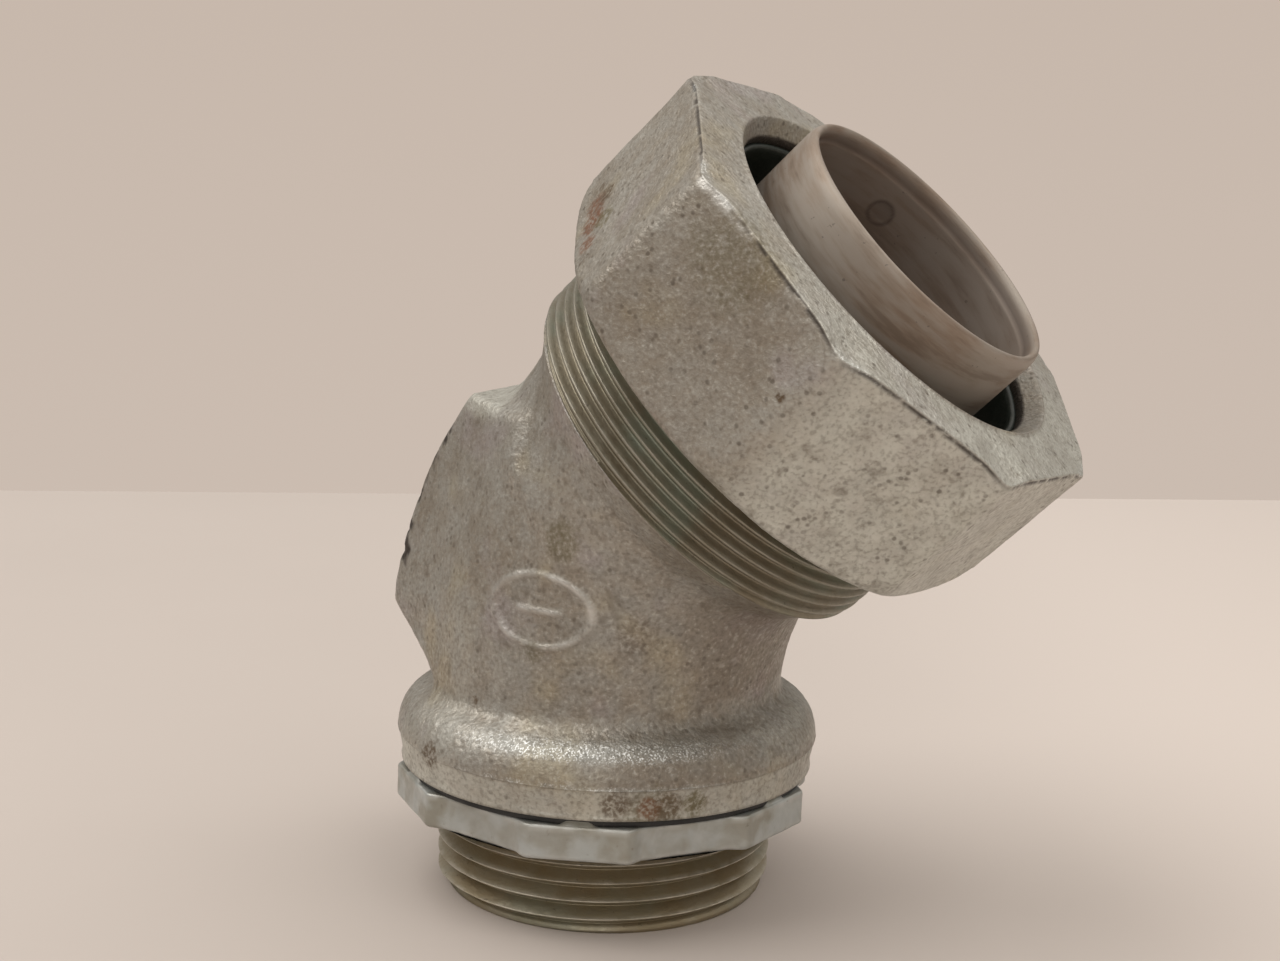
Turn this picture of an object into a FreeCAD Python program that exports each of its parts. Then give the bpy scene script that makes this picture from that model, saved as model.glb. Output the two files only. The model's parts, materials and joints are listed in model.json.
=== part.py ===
"""45 degree liquid-tight connector elbow for 1-1/4 inch flexible metal conduit.

Frame: millimetres. The origin is on the axis of the hub, at the underside of the body's flange.
+Z runs up the hub axis into the elbow. The branch leaves the elbow centre at 45 degrees, towards +X.
Branch pieces are drawn about +Z, measured from the elbow centre, and then turned onto the branch.
"""

import FreeCAD
import Part
import math
import os

from FreeCAD import Placement, Rotation, Vector

ORIGIN = Vector(0, 0, 0)
UP = Vector(0, 0, 1)
FULL_TURN = 360.0
SUNK = 0.05        # how far a ridge's foot goes into its core, so that they join cleanly

# Elbow
BEND_ANGLE = 45.0
BEND_RADIUS = 46.0
ELBOW_HEIGHT = 27.6
NECK_R = 21.2
THROAT_R = 16.8
THROAT_LIP = 0.9

# Flange that bears on the box or enclosure
FLANGE_FOOT_R = 25.4
FLANGE_R = 26.1
FLANGE_WIDEST_Z = 3.3
SHOULDER_R = 5.6
NECK_FILLET = 1.4

# Hub thread: 1-1/4 taper pipe thread, 11.5 threads per inch, right hand
HUB_R = 21.05
HUB_PITCH = 25.4 / 11.5
HUB_TAPER = 1.0 / 32.0          # loss of radius per millimetre away from the flange
HUB_LENGTH = 15.7
HUB_DEPTH = 0.8 * HUB_PITCH
HUB_END_CHAMFER = 1.1

# Gland thread on the branch: 2 inch, 16 threads per inch, right hand
GLAND_R = 25.4
GLAND_PITCH = 25.4 / 16.0
GLAND_DEPTH = 0.6134 * GLAND_PITCH
GLAND_START = 16.9
GLAND_END = 37.0
GLAND_END_CHAMFER = 0.8
THREAD_FLANK = 30.0             # degrees
THREAD_SLACK = 0.15             # radial gap outside an outer thread's crest
TIP_SLACK = 0.22                # radial gap at an inner thread's tip
FLANK_SLACK = 0.12              # axial gap between flanks
SLEEVE_WALL = 0.8

# Swell of the body behind the gland thread
SWELL_START = 6.0
SWELL_END = 13.2
SWELL_RADIUS = 21.8
COLLAR_FOOT_R = 25.0

# Wrench lug on the outside of the bend
LUG_HALF_WIDTH = 9.5
LUG_TOP_Z = 44.6
LUG_TOP_X = -15.6
LUG_SHOULDER = (-20.6, 37.6)
LUG_TOE = (-26.2, 17.4)
LUG_TOE_MIDDLE = (-25.0, 26.0)
LUG_UNDERSIDE = (-25.4, 16.3)
LUG_NECK_X = -18.0
LUG_NECK_Z = 11.6
LUG_LEAN_Z = 20.0               # above this height the lug leans with the branch
LUG_LEAN = 9.0
LUG_TOUCH = 120.0               # degrees from +X to where a flank leaves the neck
LUG_TOP_FLAT = 4.0              # length of the level part of the top
LUG_TOP_FALL = 0.3              # drop of the top's outer corner below that level
LUG_TOP_SUNK = 2.0              # how far the top slopes down into the branch
LUG_SPARE = 2.0                 # how far the plan wedge runs past the side outline

# Ferrule seat and ferrule
SEAT_L = 30.0
SEAT_R = 22.3
SEAT_GAP = 0.08
TUBE_R = 17.9
TUBE_WALL = 1.05
SKIRT_WALL = 0.85
WEB = 1.2
SKIRT_TOP = 36.8
RIM_L = 54.2
RIM_CURL = 1.7
RIM_INSET = 0.55

# Sealing ring
RING_BORE_R = 21.3
RING_BACK_L = 38.25
RING_BACK_R = 24.3
RING_FRONT_L = 46.2
RING_FRONT_R = 22.1
RING_GAP = 0.08

# Gland nut: octagon
NUT_ACROSS_FLATS = 59.2
NUT_BACK_L = 26.7
NUT_FRONT_L = 49.0
NUT_BACK_R = 26.6
NUT_CORNER_R = 31.95
NUT_DOME_L = 30.8
NUT_THREAD_END = 38.2
NUT_LIP_R = 22.0
NUT_LIP_L = 46.5
NUT_MOUTH_R = 23.5
NUT_FACE_DROP = 0.5
NUT_EDGE = 0.7
NUT_SIDES = 8
NUT_TURN = 16.0                 # degrees to the first corner
NUT_DOME_BULGE = (0.62, 0.35)   # half-way point of the domed back, as shares of its width and length

# Locknut
LOCKNUT_TOP = -0.9
LOCKNUT_THICK = 4.1
LOCKNUT_LUG_R = 26.2
LOCKNUT_NOTCH_R = 25.0
LOCKNUT_LUGS = 6
LOCKNUT_SIDE_HALF = 14.3        # degrees, half of a lug's side and of a notch's side
LOCKNUT_FIRST = -9.5            # degrees
LOCKNUT_CHAMFER = 0.5
TOOTH_HEIGHT = 0.6
TOOTH_INNER_R = 25.15
TOOTH_OUTER_R = 25.8
TOOTH_HALF = 5.0                # degrees

# Face gasket between the flange and the locknut
GASKET_BORE_R = 21.35
GASKET_R = 24.9
GASKET_THICK = 0.8
GASKET_GAP = 0.05

# Plain cast mark on the front of the neck: an oval rim round a bar
MARK_Z = 22.5
MARK_X = 1.6
MARK_HALF_LENGTH = 6.5
MARK_HALF_HEIGHT = 4.2
MARK_LINE = 0.9
MARK_RAISE = 0.45
MARK_BAR_HALF = 3.0

BRANCH = Placement(Vector(0, 0, ELBOW_HEIGHT), Rotation(Vector(0, 1, 0), BEND_ANGLE))
BEND_REACH = BEND_RADIUS * math.tan(math.radians(BEND_ANGLE / 2))
BEND_START_Z = ELBOW_HEIGHT - BEND_REACH


def to_branch(shape):
    """Turns a shape drawn about +Z at the origin onto the branch."""
    placed = shape.copy()
    placed.Placement = BRANCH.multiply(placed.Placement)
    return placed


def outline(start, *steps):
    """Closed wire in the XZ plane. A step is (x, z), or a pair of them for an arc by way of a middle point."""
    def at(point):
        return Vector(point[0], 0, point[1])

    edges = []
    here = start
    for step in steps + (start,):
        if isinstance(step[0], tuple):
            middle, there = step
            edges.append(Part.Arc(at(here), at(middle), at(there)).toShape())
        else:
            there = step
            edges.append(Part.LineSegment(at(here), at(there)).toShape())
        here = there
    return Part.Wire(edges)


def turned(start, *steps):
    """Solid of revolution about Z of an outline with x as radius."""
    return Part.Face(outline(start, *steps)).revolve(ORIGIN, UP, FULL_TURN)


def arc_middle(start, centre, end):
    """The point half-way along the short arc from start to end about centre."""
    a = math.atan2(start[1] - centre[1], start[0] - centre[0])
    b = math.atan2(end[1] - centre[1], end[0] - centre[0])
    turn = (b - a + math.pi) % (2 * math.pi) - math.pi
    radius = math.hypot(start[0] - centre[0], start[1] - centre[1])
    angle = a + turn / 2
    return (centre[0] + radius * math.cos(angle), centre[1] + radius * math.sin(angle))


def helical_ridge(section, pitch, bottom, top, taper):
    """Sweeps a ridge section, given as (radius, height) corners, up a right-hand helix from bottom to top."""
    foot = section[0][0]
    corners = [Vector(radius, 0, bottom + height) for radius, height in section]
    helix = Part.makeHelix(pitch, top - bottom, foot, math.degrees(math.atan(taper)))
    helix.translate(Vector(0, 0, bottom))
    return Part.Wire(helix).makePipeShell([Part.makePolygon(corners + corners[:1])], True, True)


def ridge_section(foot_r, tip_r, tip_half):
    """Corners of a V ridge from its foot to its flat tip, as (radius, height) about its own middle."""
    foot_half = tip_half + abs(tip_r - foot_r) * math.tan(math.radians(THREAD_FLANK))
    return [(foot_r, -foot_half), (tip_r, -tip_half), (tip_r, tip_half), (foot_r, foot_half)]


def crest_half(depth, pitch):
    """Half width of the flat on an outer thread's crest, which leaves the same flat at its root."""
    return (pitch - 2 * depth * math.tan(math.radians(THREAD_FLANK))) / 4


def outer_section(crest_r, depth, pitch):
    """Ridge of an outer thread, its foot sunk into the core."""
    return ridge_section(crest_r - depth - SUNK, crest_r, crest_half(depth, pitch))


def inner_section(crest_r, depth, pitch):
    """Ridge of the nut that runs on that outer thread, half a pitch away, with slack all round."""
    tip_half = crest_half(depth, pitch) + TIP_SLACK * math.tan(math.radians(THREAD_FLANK)) - FLANK_SLACK
    return ridge_section(crest_r + THREAD_SLACK + SUNK, crest_r - depth + TIP_SLACK, tip_half)


def threaded_rod(crest_r, depth, pitch, phase, low, high, taper):
    """Rod with a right-hand thread. A crest crosses +X at the height phase; crest_r holds at height 0."""
    bottom = phase + math.floor((low - phase) / pitch) * pitch
    root = crest_r - depth
    core = turned((0, bottom), (root + taper * bottom, bottom), (root + taper * high, high), (0, high))
    ridge = helical_ridge(outer_section(crest_r + taper * bottom, depth, pitch), pitch, bottom, high, taper)
    return core.fuse(ridge)


def threaded_sleeve(crest_r, depth, pitch, phase, low, high):
    """Sleeve whose inner thread runs on that rod."""
    bottom = phase + (math.floor((low - phase) / pitch) - 0.5) * pitch
    wall = crest_r + THREAD_SLACK
    height = high + pitch - bottom
    sleeve = tube(wall + SLEEVE_WALL, wall, bottom, height)
    turns = math.ceil(height / pitch) - 1
    ridge = helical_ridge(inner_section(crest_r, depth, pitch), pitch, bottom, bottom + turns * pitch, 0)
    return sleeve.fuse(ridge)


def tube(outer_r, inner_r, low, height):
    """Plain tube about Z."""
    return turned((inner_r, low), (outer_r, low), (outer_r, low + height), (inner_r, low + height))


def swept(radius, low_z, high_l):
    """Round bar along the elbow's centre line, from low_z on the hub to high_l on the branch."""
    hub = Part.makeCylinder(radius, BEND_START_Z - low_z, Vector(0, 0, low_z))
    disc = Part.Face(Part.Wire(Part.makeCircle(radius, Vector(0, 0, BEND_START_Z), UP)))
    bend = disc.revolve(Vector(BEND_RADIUS, 0, BEND_START_Z), Vector(0, 1, 0), BEND_ANGLE)
    branch = to_branch(Part.makeCylinder(radius, high_l - BEND_REACH, Vector(0, 0, BEND_REACH)))
    return hub.fuse([bend, branch])


def flange():
    """Rounded flange with its shoulder and the small fillet up to the neck."""
    shoulder_centre = (FLANGE_R - SHOULDER_R, FLANGE_WIDEST_Z)
    inside_neck = NECK_R - SUNK
    fillet_x = inside_neck + NECK_FILLET
    reach = SHOULDER_R + NECK_FILLET
    fillet_z = FLANGE_WIDEST_Z + math.sqrt(reach ** 2 - (fillet_x - shoulder_centre[0]) ** 2)
    share = SHOULDER_R / reach
    meeting = (
        shoulder_centre[0] + share * (fillet_x - shoulder_centre[0]),
        shoulder_centre[1] + share * (fillet_z - shoulder_centre[1]),
    )
    widest = (FLANGE_R, FLANGE_WIDEST_Z)
    neck = (inside_neck, fillet_z)
    shoulder = (arc_middle(widest, shoulder_centre, meeting), meeting)
    fillet = (arc_middle(meeting, (fillet_x, fillet_z), neck), neck)
    return turned((0, 0), (FLANGE_FOOT_R, 0), widest, shoulder, fillet, (0, fillet_z))


def swell():
    """The body's outward sweep behind the gland thread, with the cone up to the thread's crest."""
    inside_neck = NECK_R - SUNK
    centre = (inside_neck + SWELL_RADIUS, SWELL_START)
    rise = SWELL_RADIUS - math.sqrt(SWELL_RADIUS ** 2 - (SWELL_END - SWELL_START) ** 2)
    start = (inside_neck, SWELL_START)
    end = (inside_neck + rise, SWELL_END)
    core_r = GLAND_R - GLAND_DEPTH
    inner = GLAND_START + (GLAND_R - COLLAR_FOOT_R)
    return turned(
        (0, SWELL_START), start, (arc_middle(start, centre, end), end),
        (COLLAR_FOOT_R, GLAND_START), (core_r, inner), (0, inner),
    )


def gland_rod():
    """The threaded end of the branch, chamfered at its mouth."""
    rod = threaded_rod(GLAND_R, GLAND_DEPTH, GLAND_PITCH, GLAND_START, GLAND_START - 1, GLAND_END + 1, 0)
    envelope = turned(
        (0, GLAND_START), (COLLAR_FOOT_R, GLAND_START),
        (GLAND_R + SUNK, GLAND_START + GLAND_R - COLLAR_FOOT_R),
        (GLAND_R + SUNK, GLAND_END - GLAND_END_CHAMFER),
        (GLAND_R - GLAND_END_CHAMFER, GLAND_END), (0, GLAND_END),
    )
    return rod.common(envelope)


def hub_rod():
    """The threaded nipple below the flange, chamfered at its end."""
    rod = threaded_rod(HUB_R, HUB_DEPTH, HUB_PITCH, 0, -HUB_LENGTH - 1, 1, HUB_TAPER)
    end_r = HUB_R - HUB_TAPER * HUB_LENGTH
    envelope = turned(
        (0, -HUB_LENGTH), (end_r - HUB_END_CHAMFER, -HUB_LENGTH),
        (end_r + SUNK, -HUB_LENGTH + HUB_END_CHAMFER), (HUB_R + SUNK, SUNK), (0, SUNK),
    )
    return rod.common(envelope)


def lug_plan(z, shift):
    """Plan of the lug at one height: a wedge that narrows from where its flanks leave the neck."""
    touch_x, touch_y = around(NECK_R, LUG_TOUCH)
    slope = (touch_y - LUG_HALF_WIDTH) / (touch_x - LUG_TOE[0])
    tip_x = LUG_TOE[0] - LUG_SPARE
    tip_y = LUG_HALF_WIDTH - slope * LUG_SPARE
    left = [(tip_x, tip_y), (touch_x, touch_y), (0, touch_y)]
    right = [(x, -y) for x, y in reversed(left)]
    corners = [Vector(x + shift, y, z) for x, y in left + right]
    return Part.makePolygon(corners + corners[:1])


def lug():
    """Wrench lug: the side outline of the outer bend, cut to a wedge in plan."""
    side = outline(
        (0, LUG_TOP_Z - LUG_TOP_SUNK), (LUG_TOP_X + LUG_TOP_FLAT, LUG_TOP_Z),
        (LUG_TOP_X, LUG_TOP_Z - LUG_TOP_FALL), LUG_SHOULDER, (LUG_TOE_MIDDLE, LUG_TOE),
        LUG_UNDERSIDE, (LUG_NECK_X, LUG_NECK_Z), (0, LUG_NECK_Z),
    )
    wide = 2 * NECK_R
    slab = Part.Face(side).extrude(Vector(0, wide, 0))
    slab.translate(Vector(0, -wide / 2, 0))
    top = LUG_TOP_Z + LUG_SPARE
    low = LUG_NECK_Z - LUG_SPARE
    lean = LUG_LEAN * (top - LUG_LEAN_Z) / (LUG_TOP_Z - LUG_LEAN_Z)
    wedge = Part.makeLoft([lug_plan(low, 0), lug_plan(LUG_LEAN_Z, 0), lug_plan(top, lean)], True, True)
    return slab.common(wedge)


def mark():
    """Raised oval rim with a bar inside it, standing a little proud of the neck."""
    depth = 2 * NECK_R
    facing = Vector(0, -1, 0)

    def oval(half_length, half_height):
        ellipse = Part.Ellipse(Vector(0, 0, 0), half_length, half_height).toShape()
        ellipse.rotate(ORIGIN, Vector(1, 0, 0), 90)
        ellipse.translate(Vector(MARK_X, 0, MARK_Z))
        return Part.Face(Part.Wire(ellipse)).extrude(facing * depth)

    rim = oval(MARK_HALF_LENGTH, MARK_HALF_HEIGHT).cut(
        oval(MARK_HALF_LENGTH - MARK_LINE, MARK_HALF_HEIGHT - MARK_LINE)
    )
    corner = Vector(MARK_X - MARK_BAR_HALF, -depth, MARK_Z - MARK_LINE / 2)
    bar = Part.makeBox(2 * MARK_BAR_HALF, depth, MARK_LINE, corner)
    skin = swept(NECK_R + MARK_RAISE, BEND_START_Z - 1, BEND_REACH + 1)
    return rim.fuse(bar).common(skin)


def throat():
    """The wireway through the body, with the ferrule's seat at the branch end."""
    way = swept(THROAT_R, -HUB_LENGTH - 1, SEAT_L + 1)
    lip = turned(
        (0, -HUB_LENGTH - 1), (THROAT_R + THROAT_LIP + 1, -HUB_LENGTH - 1),
        (THROAT_R, -HUB_LENGTH + THROAT_LIP), (0, -HUB_LENGTH + THROAT_LIP),
    )
    seat = Part.makeCylinder(SEAT_R, GLAND_END + 1 - SEAT_L, Vector(0, 0, SEAT_L))
    return way.fuse([lip, to_branch(seat)])


def body():
    """Cast elbow: threaded hub, flange, bent neck with its lug, and the threaded branch."""
    cast = swept(NECK_R, 0, BEND_REACH + 1)
    for piece in (flange(), to_branch(swell()), lug(), mark()):
        cast = cast.fuse(piece)
    cast = cast.fuse(hub_rod())
    cast = cast.fuse(to_branch(gland_rod()))
    return cast.cut(throat())


def ferrule():
    """Turned ferrule: a tube the conduit pushes over, a web, and a skirt round the conduit's end."""
    base = SEAT_L + SEAT_GAP
    outer = SEAT_R - SEAT_GAP
    inner = TUBE_R - TUBE_WALL
    curl = RIM_L - RIM_CURL
    lip_r = TUBE_R - RIM_INSET
    shape = turned(
        (inner, base), (outer, base), (outer, SKIRT_TOP), (outer - SKIRT_WALL, SKIRT_TOP),
        (outer - SKIRT_WALL, base + WEB), (TUBE_R, base + WEB), (TUBE_R, curl),
        ((TUBE_R - 0.25 * RIM_INSET, RIM_L - RIM_CURL / 3), (lip_r, RIM_L)),
        ((lip_r - TUBE_WALL / 2, RIM_L - TUBE_WALL / 4), (lip_r - TUBE_WALL / 2, RIM_L - TUBE_WALL)),
        (inner, curl - TUBE_WALL),
    )
    return to_branch(shape)


def sealing_ring():
    """Ring that the nut's taper squeezes onto the conduit."""
    return to_branch(turned(
        (RING_BORE_R, RING_BACK_L), (RING_BACK_R, RING_BACK_L), (RING_FRONT_R, RING_FRONT_L),
        (RING_BORE_R, RING_FRONT_L),
    ))


def polygon_prism(corners, low, height):
    """Upright prism on a list of plan corners."""
    points = [Vector(x, y, low) for x, y in corners]
    return Part.Face(Part.makePolygon(points + points[:1])).extrude(Vector(0, 0, height))


def around(radius, degrees):
    """Plan point at a radius and an angle."""
    return (radius * math.cos(math.radians(degrees)), radius * math.sin(math.radians(degrees)))


def ring_cone_r(l):
    """Radius of the nut's inner taper, a small gap outside the sealing ring."""
    slope = (RING_FRONT_R - RING_BACK_R) / (RING_FRONT_L - RING_BACK_L)
    return RING_BACK_R + RING_GAP + slope * (l - RING_BACK_L)


def nut_hollow():
    """What is hollow in the gland nut before its thread goes in: plain bore, taper, lip and flared mouth."""
    bore_r = GLAND_R + THREAD_SLACK
    lip_l = RING_FRONT_L + RING_GAP
    return turned(
        (0, NUT_BACK_L - 1), (bore_r, NUT_BACK_L - 1), (bore_r, NUT_THREAD_END),
        (ring_cone_r(NUT_THREAD_END), NUT_THREAD_END), (ring_cone_r(lip_l), lip_l), (NUT_LIP_R, lip_l),
        (NUT_LIP_R, NUT_LIP_L), (NUT_MOUTH_R, NUT_FRONT_L), (NUT_MOUTH_R, NUT_FRONT_L + 1),
        (0, NUT_FRONT_L + 1),
    )


def nut_thread():
    """Threaded lining of the gland nut, with a lead-in chamfer at the back."""
    sleeve = threaded_sleeve(GLAND_R, GLAND_DEPTH, GLAND_PITCH, GLAND_START, NUT_BACK_L, NUT_THREAD_END)
    tip = GLAND_R - GLAND_DEPTH
    wall = GLAND_R + THREAD_SLACK
    back = NUT_BACK_L + SUNK
    envelope = turned(
        (wall, back), (wall + SLEEVE_WALL / 2, back), (wall + SLEEVE_WALL / 2, NUT_THREAD_END - 1),
        (wall, NUT_THREAD_END - 1), (tip, NUT_THREAD_END - 1 - (wall - tip)), (tip, back + wall - tip),
    )
    return sleeve.common(envelope)


def gland_nut():
    """Octagonal compression nut, domed at the back and worn round its front edge."""
    corner_r = NUT_ACROSS_FLATS / 2 / math.cos(math.pi / NUT_SIDES)
    corners = [around(corner_r, NUT_TURN + FULL_TURN / NUT_SIDES * i) for i in range(NUT_SIDES)]
    prism = polygon_prism(corners, NUT_BACK_L, NUT_FRONT_L - NUT_BACK_L)
    edge_l = NUT_FRONT_L - NUT_FACE_DROP
    dome_middle = (
        NUT_BACK_R + NUT_DOME_BULGE[0] * (NUT_CORNER_R - NUT_BACK_R),
        NUT_BACK_L + NUT_DOME_BULGE[1] * (NUT_DOME_L - NUT_BACK_L),
    )
    envelope = turned(
        (0, NUT_BACK_L), (NUT_BACK_R, NUT_BACK_L), (dome_middle, (NUT_CORNER_R, NUT_DOME_L)),
        (NUT_CORNER_R, edge_l - NUT_EDGE), (NUT_CORNER_R - NUT_EDGE, edge_l), (NUT_MOUTH_R, NUT_FRONT_L),
        (0, NUT_FRONT_L),
    )
    return to_branch(prism.common(envelope).cut(nut_hollow()).fuse(nut_thread()))


def face_gasket():
    """Flat rubber ring under the flange."""
    top = -GASKET_GAP
    low = top - GASKET_THICK
    return turned((GASKET_BORE_R, low), (GASKET_R, low), (GASKET_R, top), (GASKET_BORE_R, top))


def locknut_ring():
    """Locknut blank: straight sides that step in and out between six lugs and six notches."""
    low = LOCKNUT_TOP - LOCKNUT_THICK
    corners = []
    for i in range(2 * LOCKNUT_LUGS):
        radius = LOCKNUT_NOTCH_R if i % 2 else LOCKNUT_LUG_R
        middle = LOCKNUT_FIRST + FULL_TURN / (2 * LOCKNUT_LUGS) * i
        corners += [around(radius, middle - LOCKNUT_SIDE_HALF), around(radius, middle + LOCKNUT_SIDE_HALF)]
    edge_r = LOCKNUT_LUG_R - LOCKNUT_CHAMFER
    envelope = turned(
        (0, low), (edge_r, low), (LOCKNUT_LUG_R, low + LOCKNUT_CHAMFER), (LOCKNUT_LUG_R, LOCKNUT_TOP),
        (0, LOCKNUT_TOP),
    )
    return polygon_prism(corners, low, LOCKNUT_THICK).common(envelope)


def tooth(centre):
    """Low biting tooth on a locknut lug's upper face."""
    sides = (centre - TOOTH_HALF, centre + TOOTH_HALF)
    inner = [around(TOOTH_INNER_R, side) for side in sides]
    outer = [around(TOOTH_OUTER_R, side) for side in reversed(sides)]
    return polygon_prism(inner + outer, LOCKNUT_TOP - SUNK, TOOTH_HEIGHT + SUNK)


def locknut_thread():
    """Threaded lining of the locknut, chamfered at both ends."""
    low = LOCKNUT_TOP - LOCKNUT_THICK
    wall = HUB_R + THREAD_SLACK
    outer = wall + SLEEVE_WALL / 2
    envelope = turned(
        (wall, low + SUNK), (outer, low + SUNK), (outer, LOCKNUT_TOP - SUNK), (wall, LOCKNUT_TOP - SUNK),
        (HUB_R - HUB_DEPTH, LOCKNUT_TOP - LOCKNUT_THICK / 2),
    )
    sleeve = threaded_sleeve(HUB_R, HUB_DEPTH, HUB_PITCH, 0, low, LOCKNUT_TOP)
    return sleeve.common(envelope)


def locknut():
    """Steel locknut with six lugs, each with a small biting tooth on its upper face."""
    ring = locknut_ring()
    for i in range(LOCKNUT_LUGS):
        ring = ring.fuse(tooth(LOCKNUT_FIRST + FULL_TURN / LOCKNUT_LUGS * i))
    bore_low = Vector(0, 0, LOCKNUT_TOP - LOCKNUT_THICK - 1)
    bore = Part.makeCylinder(HUB_R + THREAD_SLACK, LOCKNUT_THICK + 2, bore_low)
    return ring.cut(bore).fuse(locknut_thread())


def main():
    os.makedirs("parts", exist_ok=True)
    nodes = {
        "body": body,
        "gland_nut": gland_nut,
        "sealing_ring": sealing_ring,
        "ferrule": ferrule,
        "locknut": locknut,
        "face_gasket": face_gasket,
    }
    for name, make in nodes.items():
        solid = max(make().Solids, key=lambda found: found.Volume)
        solid.exportStep("parts/" + name + ".step")
        print(name, round(solid.Volume, 1), solid.isValid())


main()
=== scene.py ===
"""Looks of the 45 degree conduit connector elbow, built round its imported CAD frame.

Shapes are worked out in millimetres in the frame's own axes, and turned into metres when a mesh is made.
"""

import json
import math

import bpy
import numpy as np
from mathutils import Matrix, Vector


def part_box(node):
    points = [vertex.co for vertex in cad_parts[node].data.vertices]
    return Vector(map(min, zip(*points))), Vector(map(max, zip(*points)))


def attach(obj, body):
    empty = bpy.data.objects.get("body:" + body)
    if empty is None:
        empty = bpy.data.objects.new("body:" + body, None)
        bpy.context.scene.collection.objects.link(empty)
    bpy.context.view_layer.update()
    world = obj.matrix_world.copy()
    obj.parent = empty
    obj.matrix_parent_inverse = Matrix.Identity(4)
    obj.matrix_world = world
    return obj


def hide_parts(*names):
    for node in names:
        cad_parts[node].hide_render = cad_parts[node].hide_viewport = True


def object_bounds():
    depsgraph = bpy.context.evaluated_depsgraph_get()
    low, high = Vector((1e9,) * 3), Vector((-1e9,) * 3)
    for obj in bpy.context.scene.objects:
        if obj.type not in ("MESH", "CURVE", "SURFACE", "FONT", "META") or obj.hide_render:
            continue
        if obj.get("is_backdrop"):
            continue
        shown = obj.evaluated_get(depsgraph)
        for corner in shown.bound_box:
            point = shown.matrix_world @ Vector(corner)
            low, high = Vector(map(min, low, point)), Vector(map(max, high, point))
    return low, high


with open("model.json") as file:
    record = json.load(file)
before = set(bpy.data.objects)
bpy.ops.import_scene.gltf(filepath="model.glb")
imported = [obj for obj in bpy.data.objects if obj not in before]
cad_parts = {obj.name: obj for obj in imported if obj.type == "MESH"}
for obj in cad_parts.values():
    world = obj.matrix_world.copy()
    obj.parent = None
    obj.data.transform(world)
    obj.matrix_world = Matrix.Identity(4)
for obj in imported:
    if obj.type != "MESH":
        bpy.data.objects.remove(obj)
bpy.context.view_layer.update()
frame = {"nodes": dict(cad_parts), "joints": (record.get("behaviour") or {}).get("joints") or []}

MM = 0.001
FULL = 2 * math.pi

# ---- places read from the frame
joints = {joint["name"]: joint for joint in frame["joints"]}
ELBOW = np.array(joints["gland_turn"]["pos_m"]) / MM
ALONG = np.array(joints["gland_turn"]["axis"]) / np.linalg.norm(joints["gland_turn"]["axis"])
ACROSS = np.array((ALONG[2], 0.0, -ALONG[0]))
SIDE = np.array((0.0, 1.0, 0.0))
ORIGIN = np.zeros(3)
UP = np.array((0.0, 0.0, 1.0))
EAST = np.array((1.0, 0.0, 0.0))
ON_BRANCH = (ELBOW, ALONG, ACROSS)
ON_HUB = (ORIGIN, UP, EAST)
SUNK = 0.02                     # how far one skin starts inside its neighbour


def reach(node, centre, axis):
    """Lowest and highest place along an axis, then smallest and largest radius about it, of a CAD node."""
    corners = [vertex.co for vertex in frame["nodes"][node].data.vertices]
    points = np.array(corners) / MM - centre
    along = points @ axis
    radius = np.linalg.norm(points - np.outer(along, axis), axis=1)
    return along.min(), along.max(), radius.min(), radius.max()


NUT_BACK, NUT_FRONT, NUT_LIP_R, NUT_CORNER_R = reach("gland_nut", ELBOW, ALONG)
RING_BACK, RING_FRONT, RING_BORE_R, RING_BACK_R = reach("sealing_ring", ELBOW, ALONG)
FERRULE_BACK, FERRULE_FRONT, FERRULE_BORE_R, SKIRT_R = reach("ferrule", ELBOW, ALONG)
GASKET_LOW, GASKET_TOP, GASKET_BORE_R, GASKET_R = reach("face_gasket", ORIGIN, UP)
LOCK_LOW, TOOTH_TOP, _, LOCK_R = reach("locknut", ORIGIN, UP)
HUB_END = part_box("body")[0].z / MM
GLAND_END = reach("body", ELBOW, ALONG)[1]

# ---- driving sizes of the visible shapes
BEND_ANGLE = math.radians(45)
BEND_R = 46.0
BEND_START = ELBOW[2] - BEND_R * math.tan(BEND_ANGLE / 2)
SPINE_REACH = 12.0              # the skin's rows fan about a tighter bend than the metal's own
SPINE_R = SPINE_REACH / math.tan(BEND_ANGLE / 2)
NECK_R = 21.2
THROAT_R = 16.8
THROAT_LIP = 0.9
SKIN_REACH = 34.0               # no part of the cast skin is further from the spine
SAND = 0.055                    # height of the casting's sandy grain
WAVES = 0.10                    # height of its slow unevenness
PIT_DEPTH = 0.16

FLANGE_FOOT_R = 25.4
FLANGE_R = 26.05
FLANGE_WIDEST = 3.5
FLANGE_LIP = 0.22               # the shoulder ends in a small lip over the band below it
SHOULDER_R = 5.6
SHOULDER_FILLET = 1.9

SWELL_START = 6.0
SWELL_END = 13.2
SWELL_R = 21.8
COLLAR_L = 16.9
COLLAR_R = 25.0

LUG_TOP = ((0.0, 42.6), (-11.6, 44.6))
LUG_CORNER = (-15.6, 44.3)
LUG_SHOULDER = (-20.6, 37.6)
LUG_BULGE = (-25.0, 26.0)
LUG_TOE = (-26.1, 17.4)
LUG_NECK = (-18.0, 11.6)
LUG_FLANK_TOUCH = math.radians(60)
LUG_HALF_WIDTH = 9.5
LUG_LEAN_START = 20.0
LUG_LEAN = 9.0 / 24.6

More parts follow.
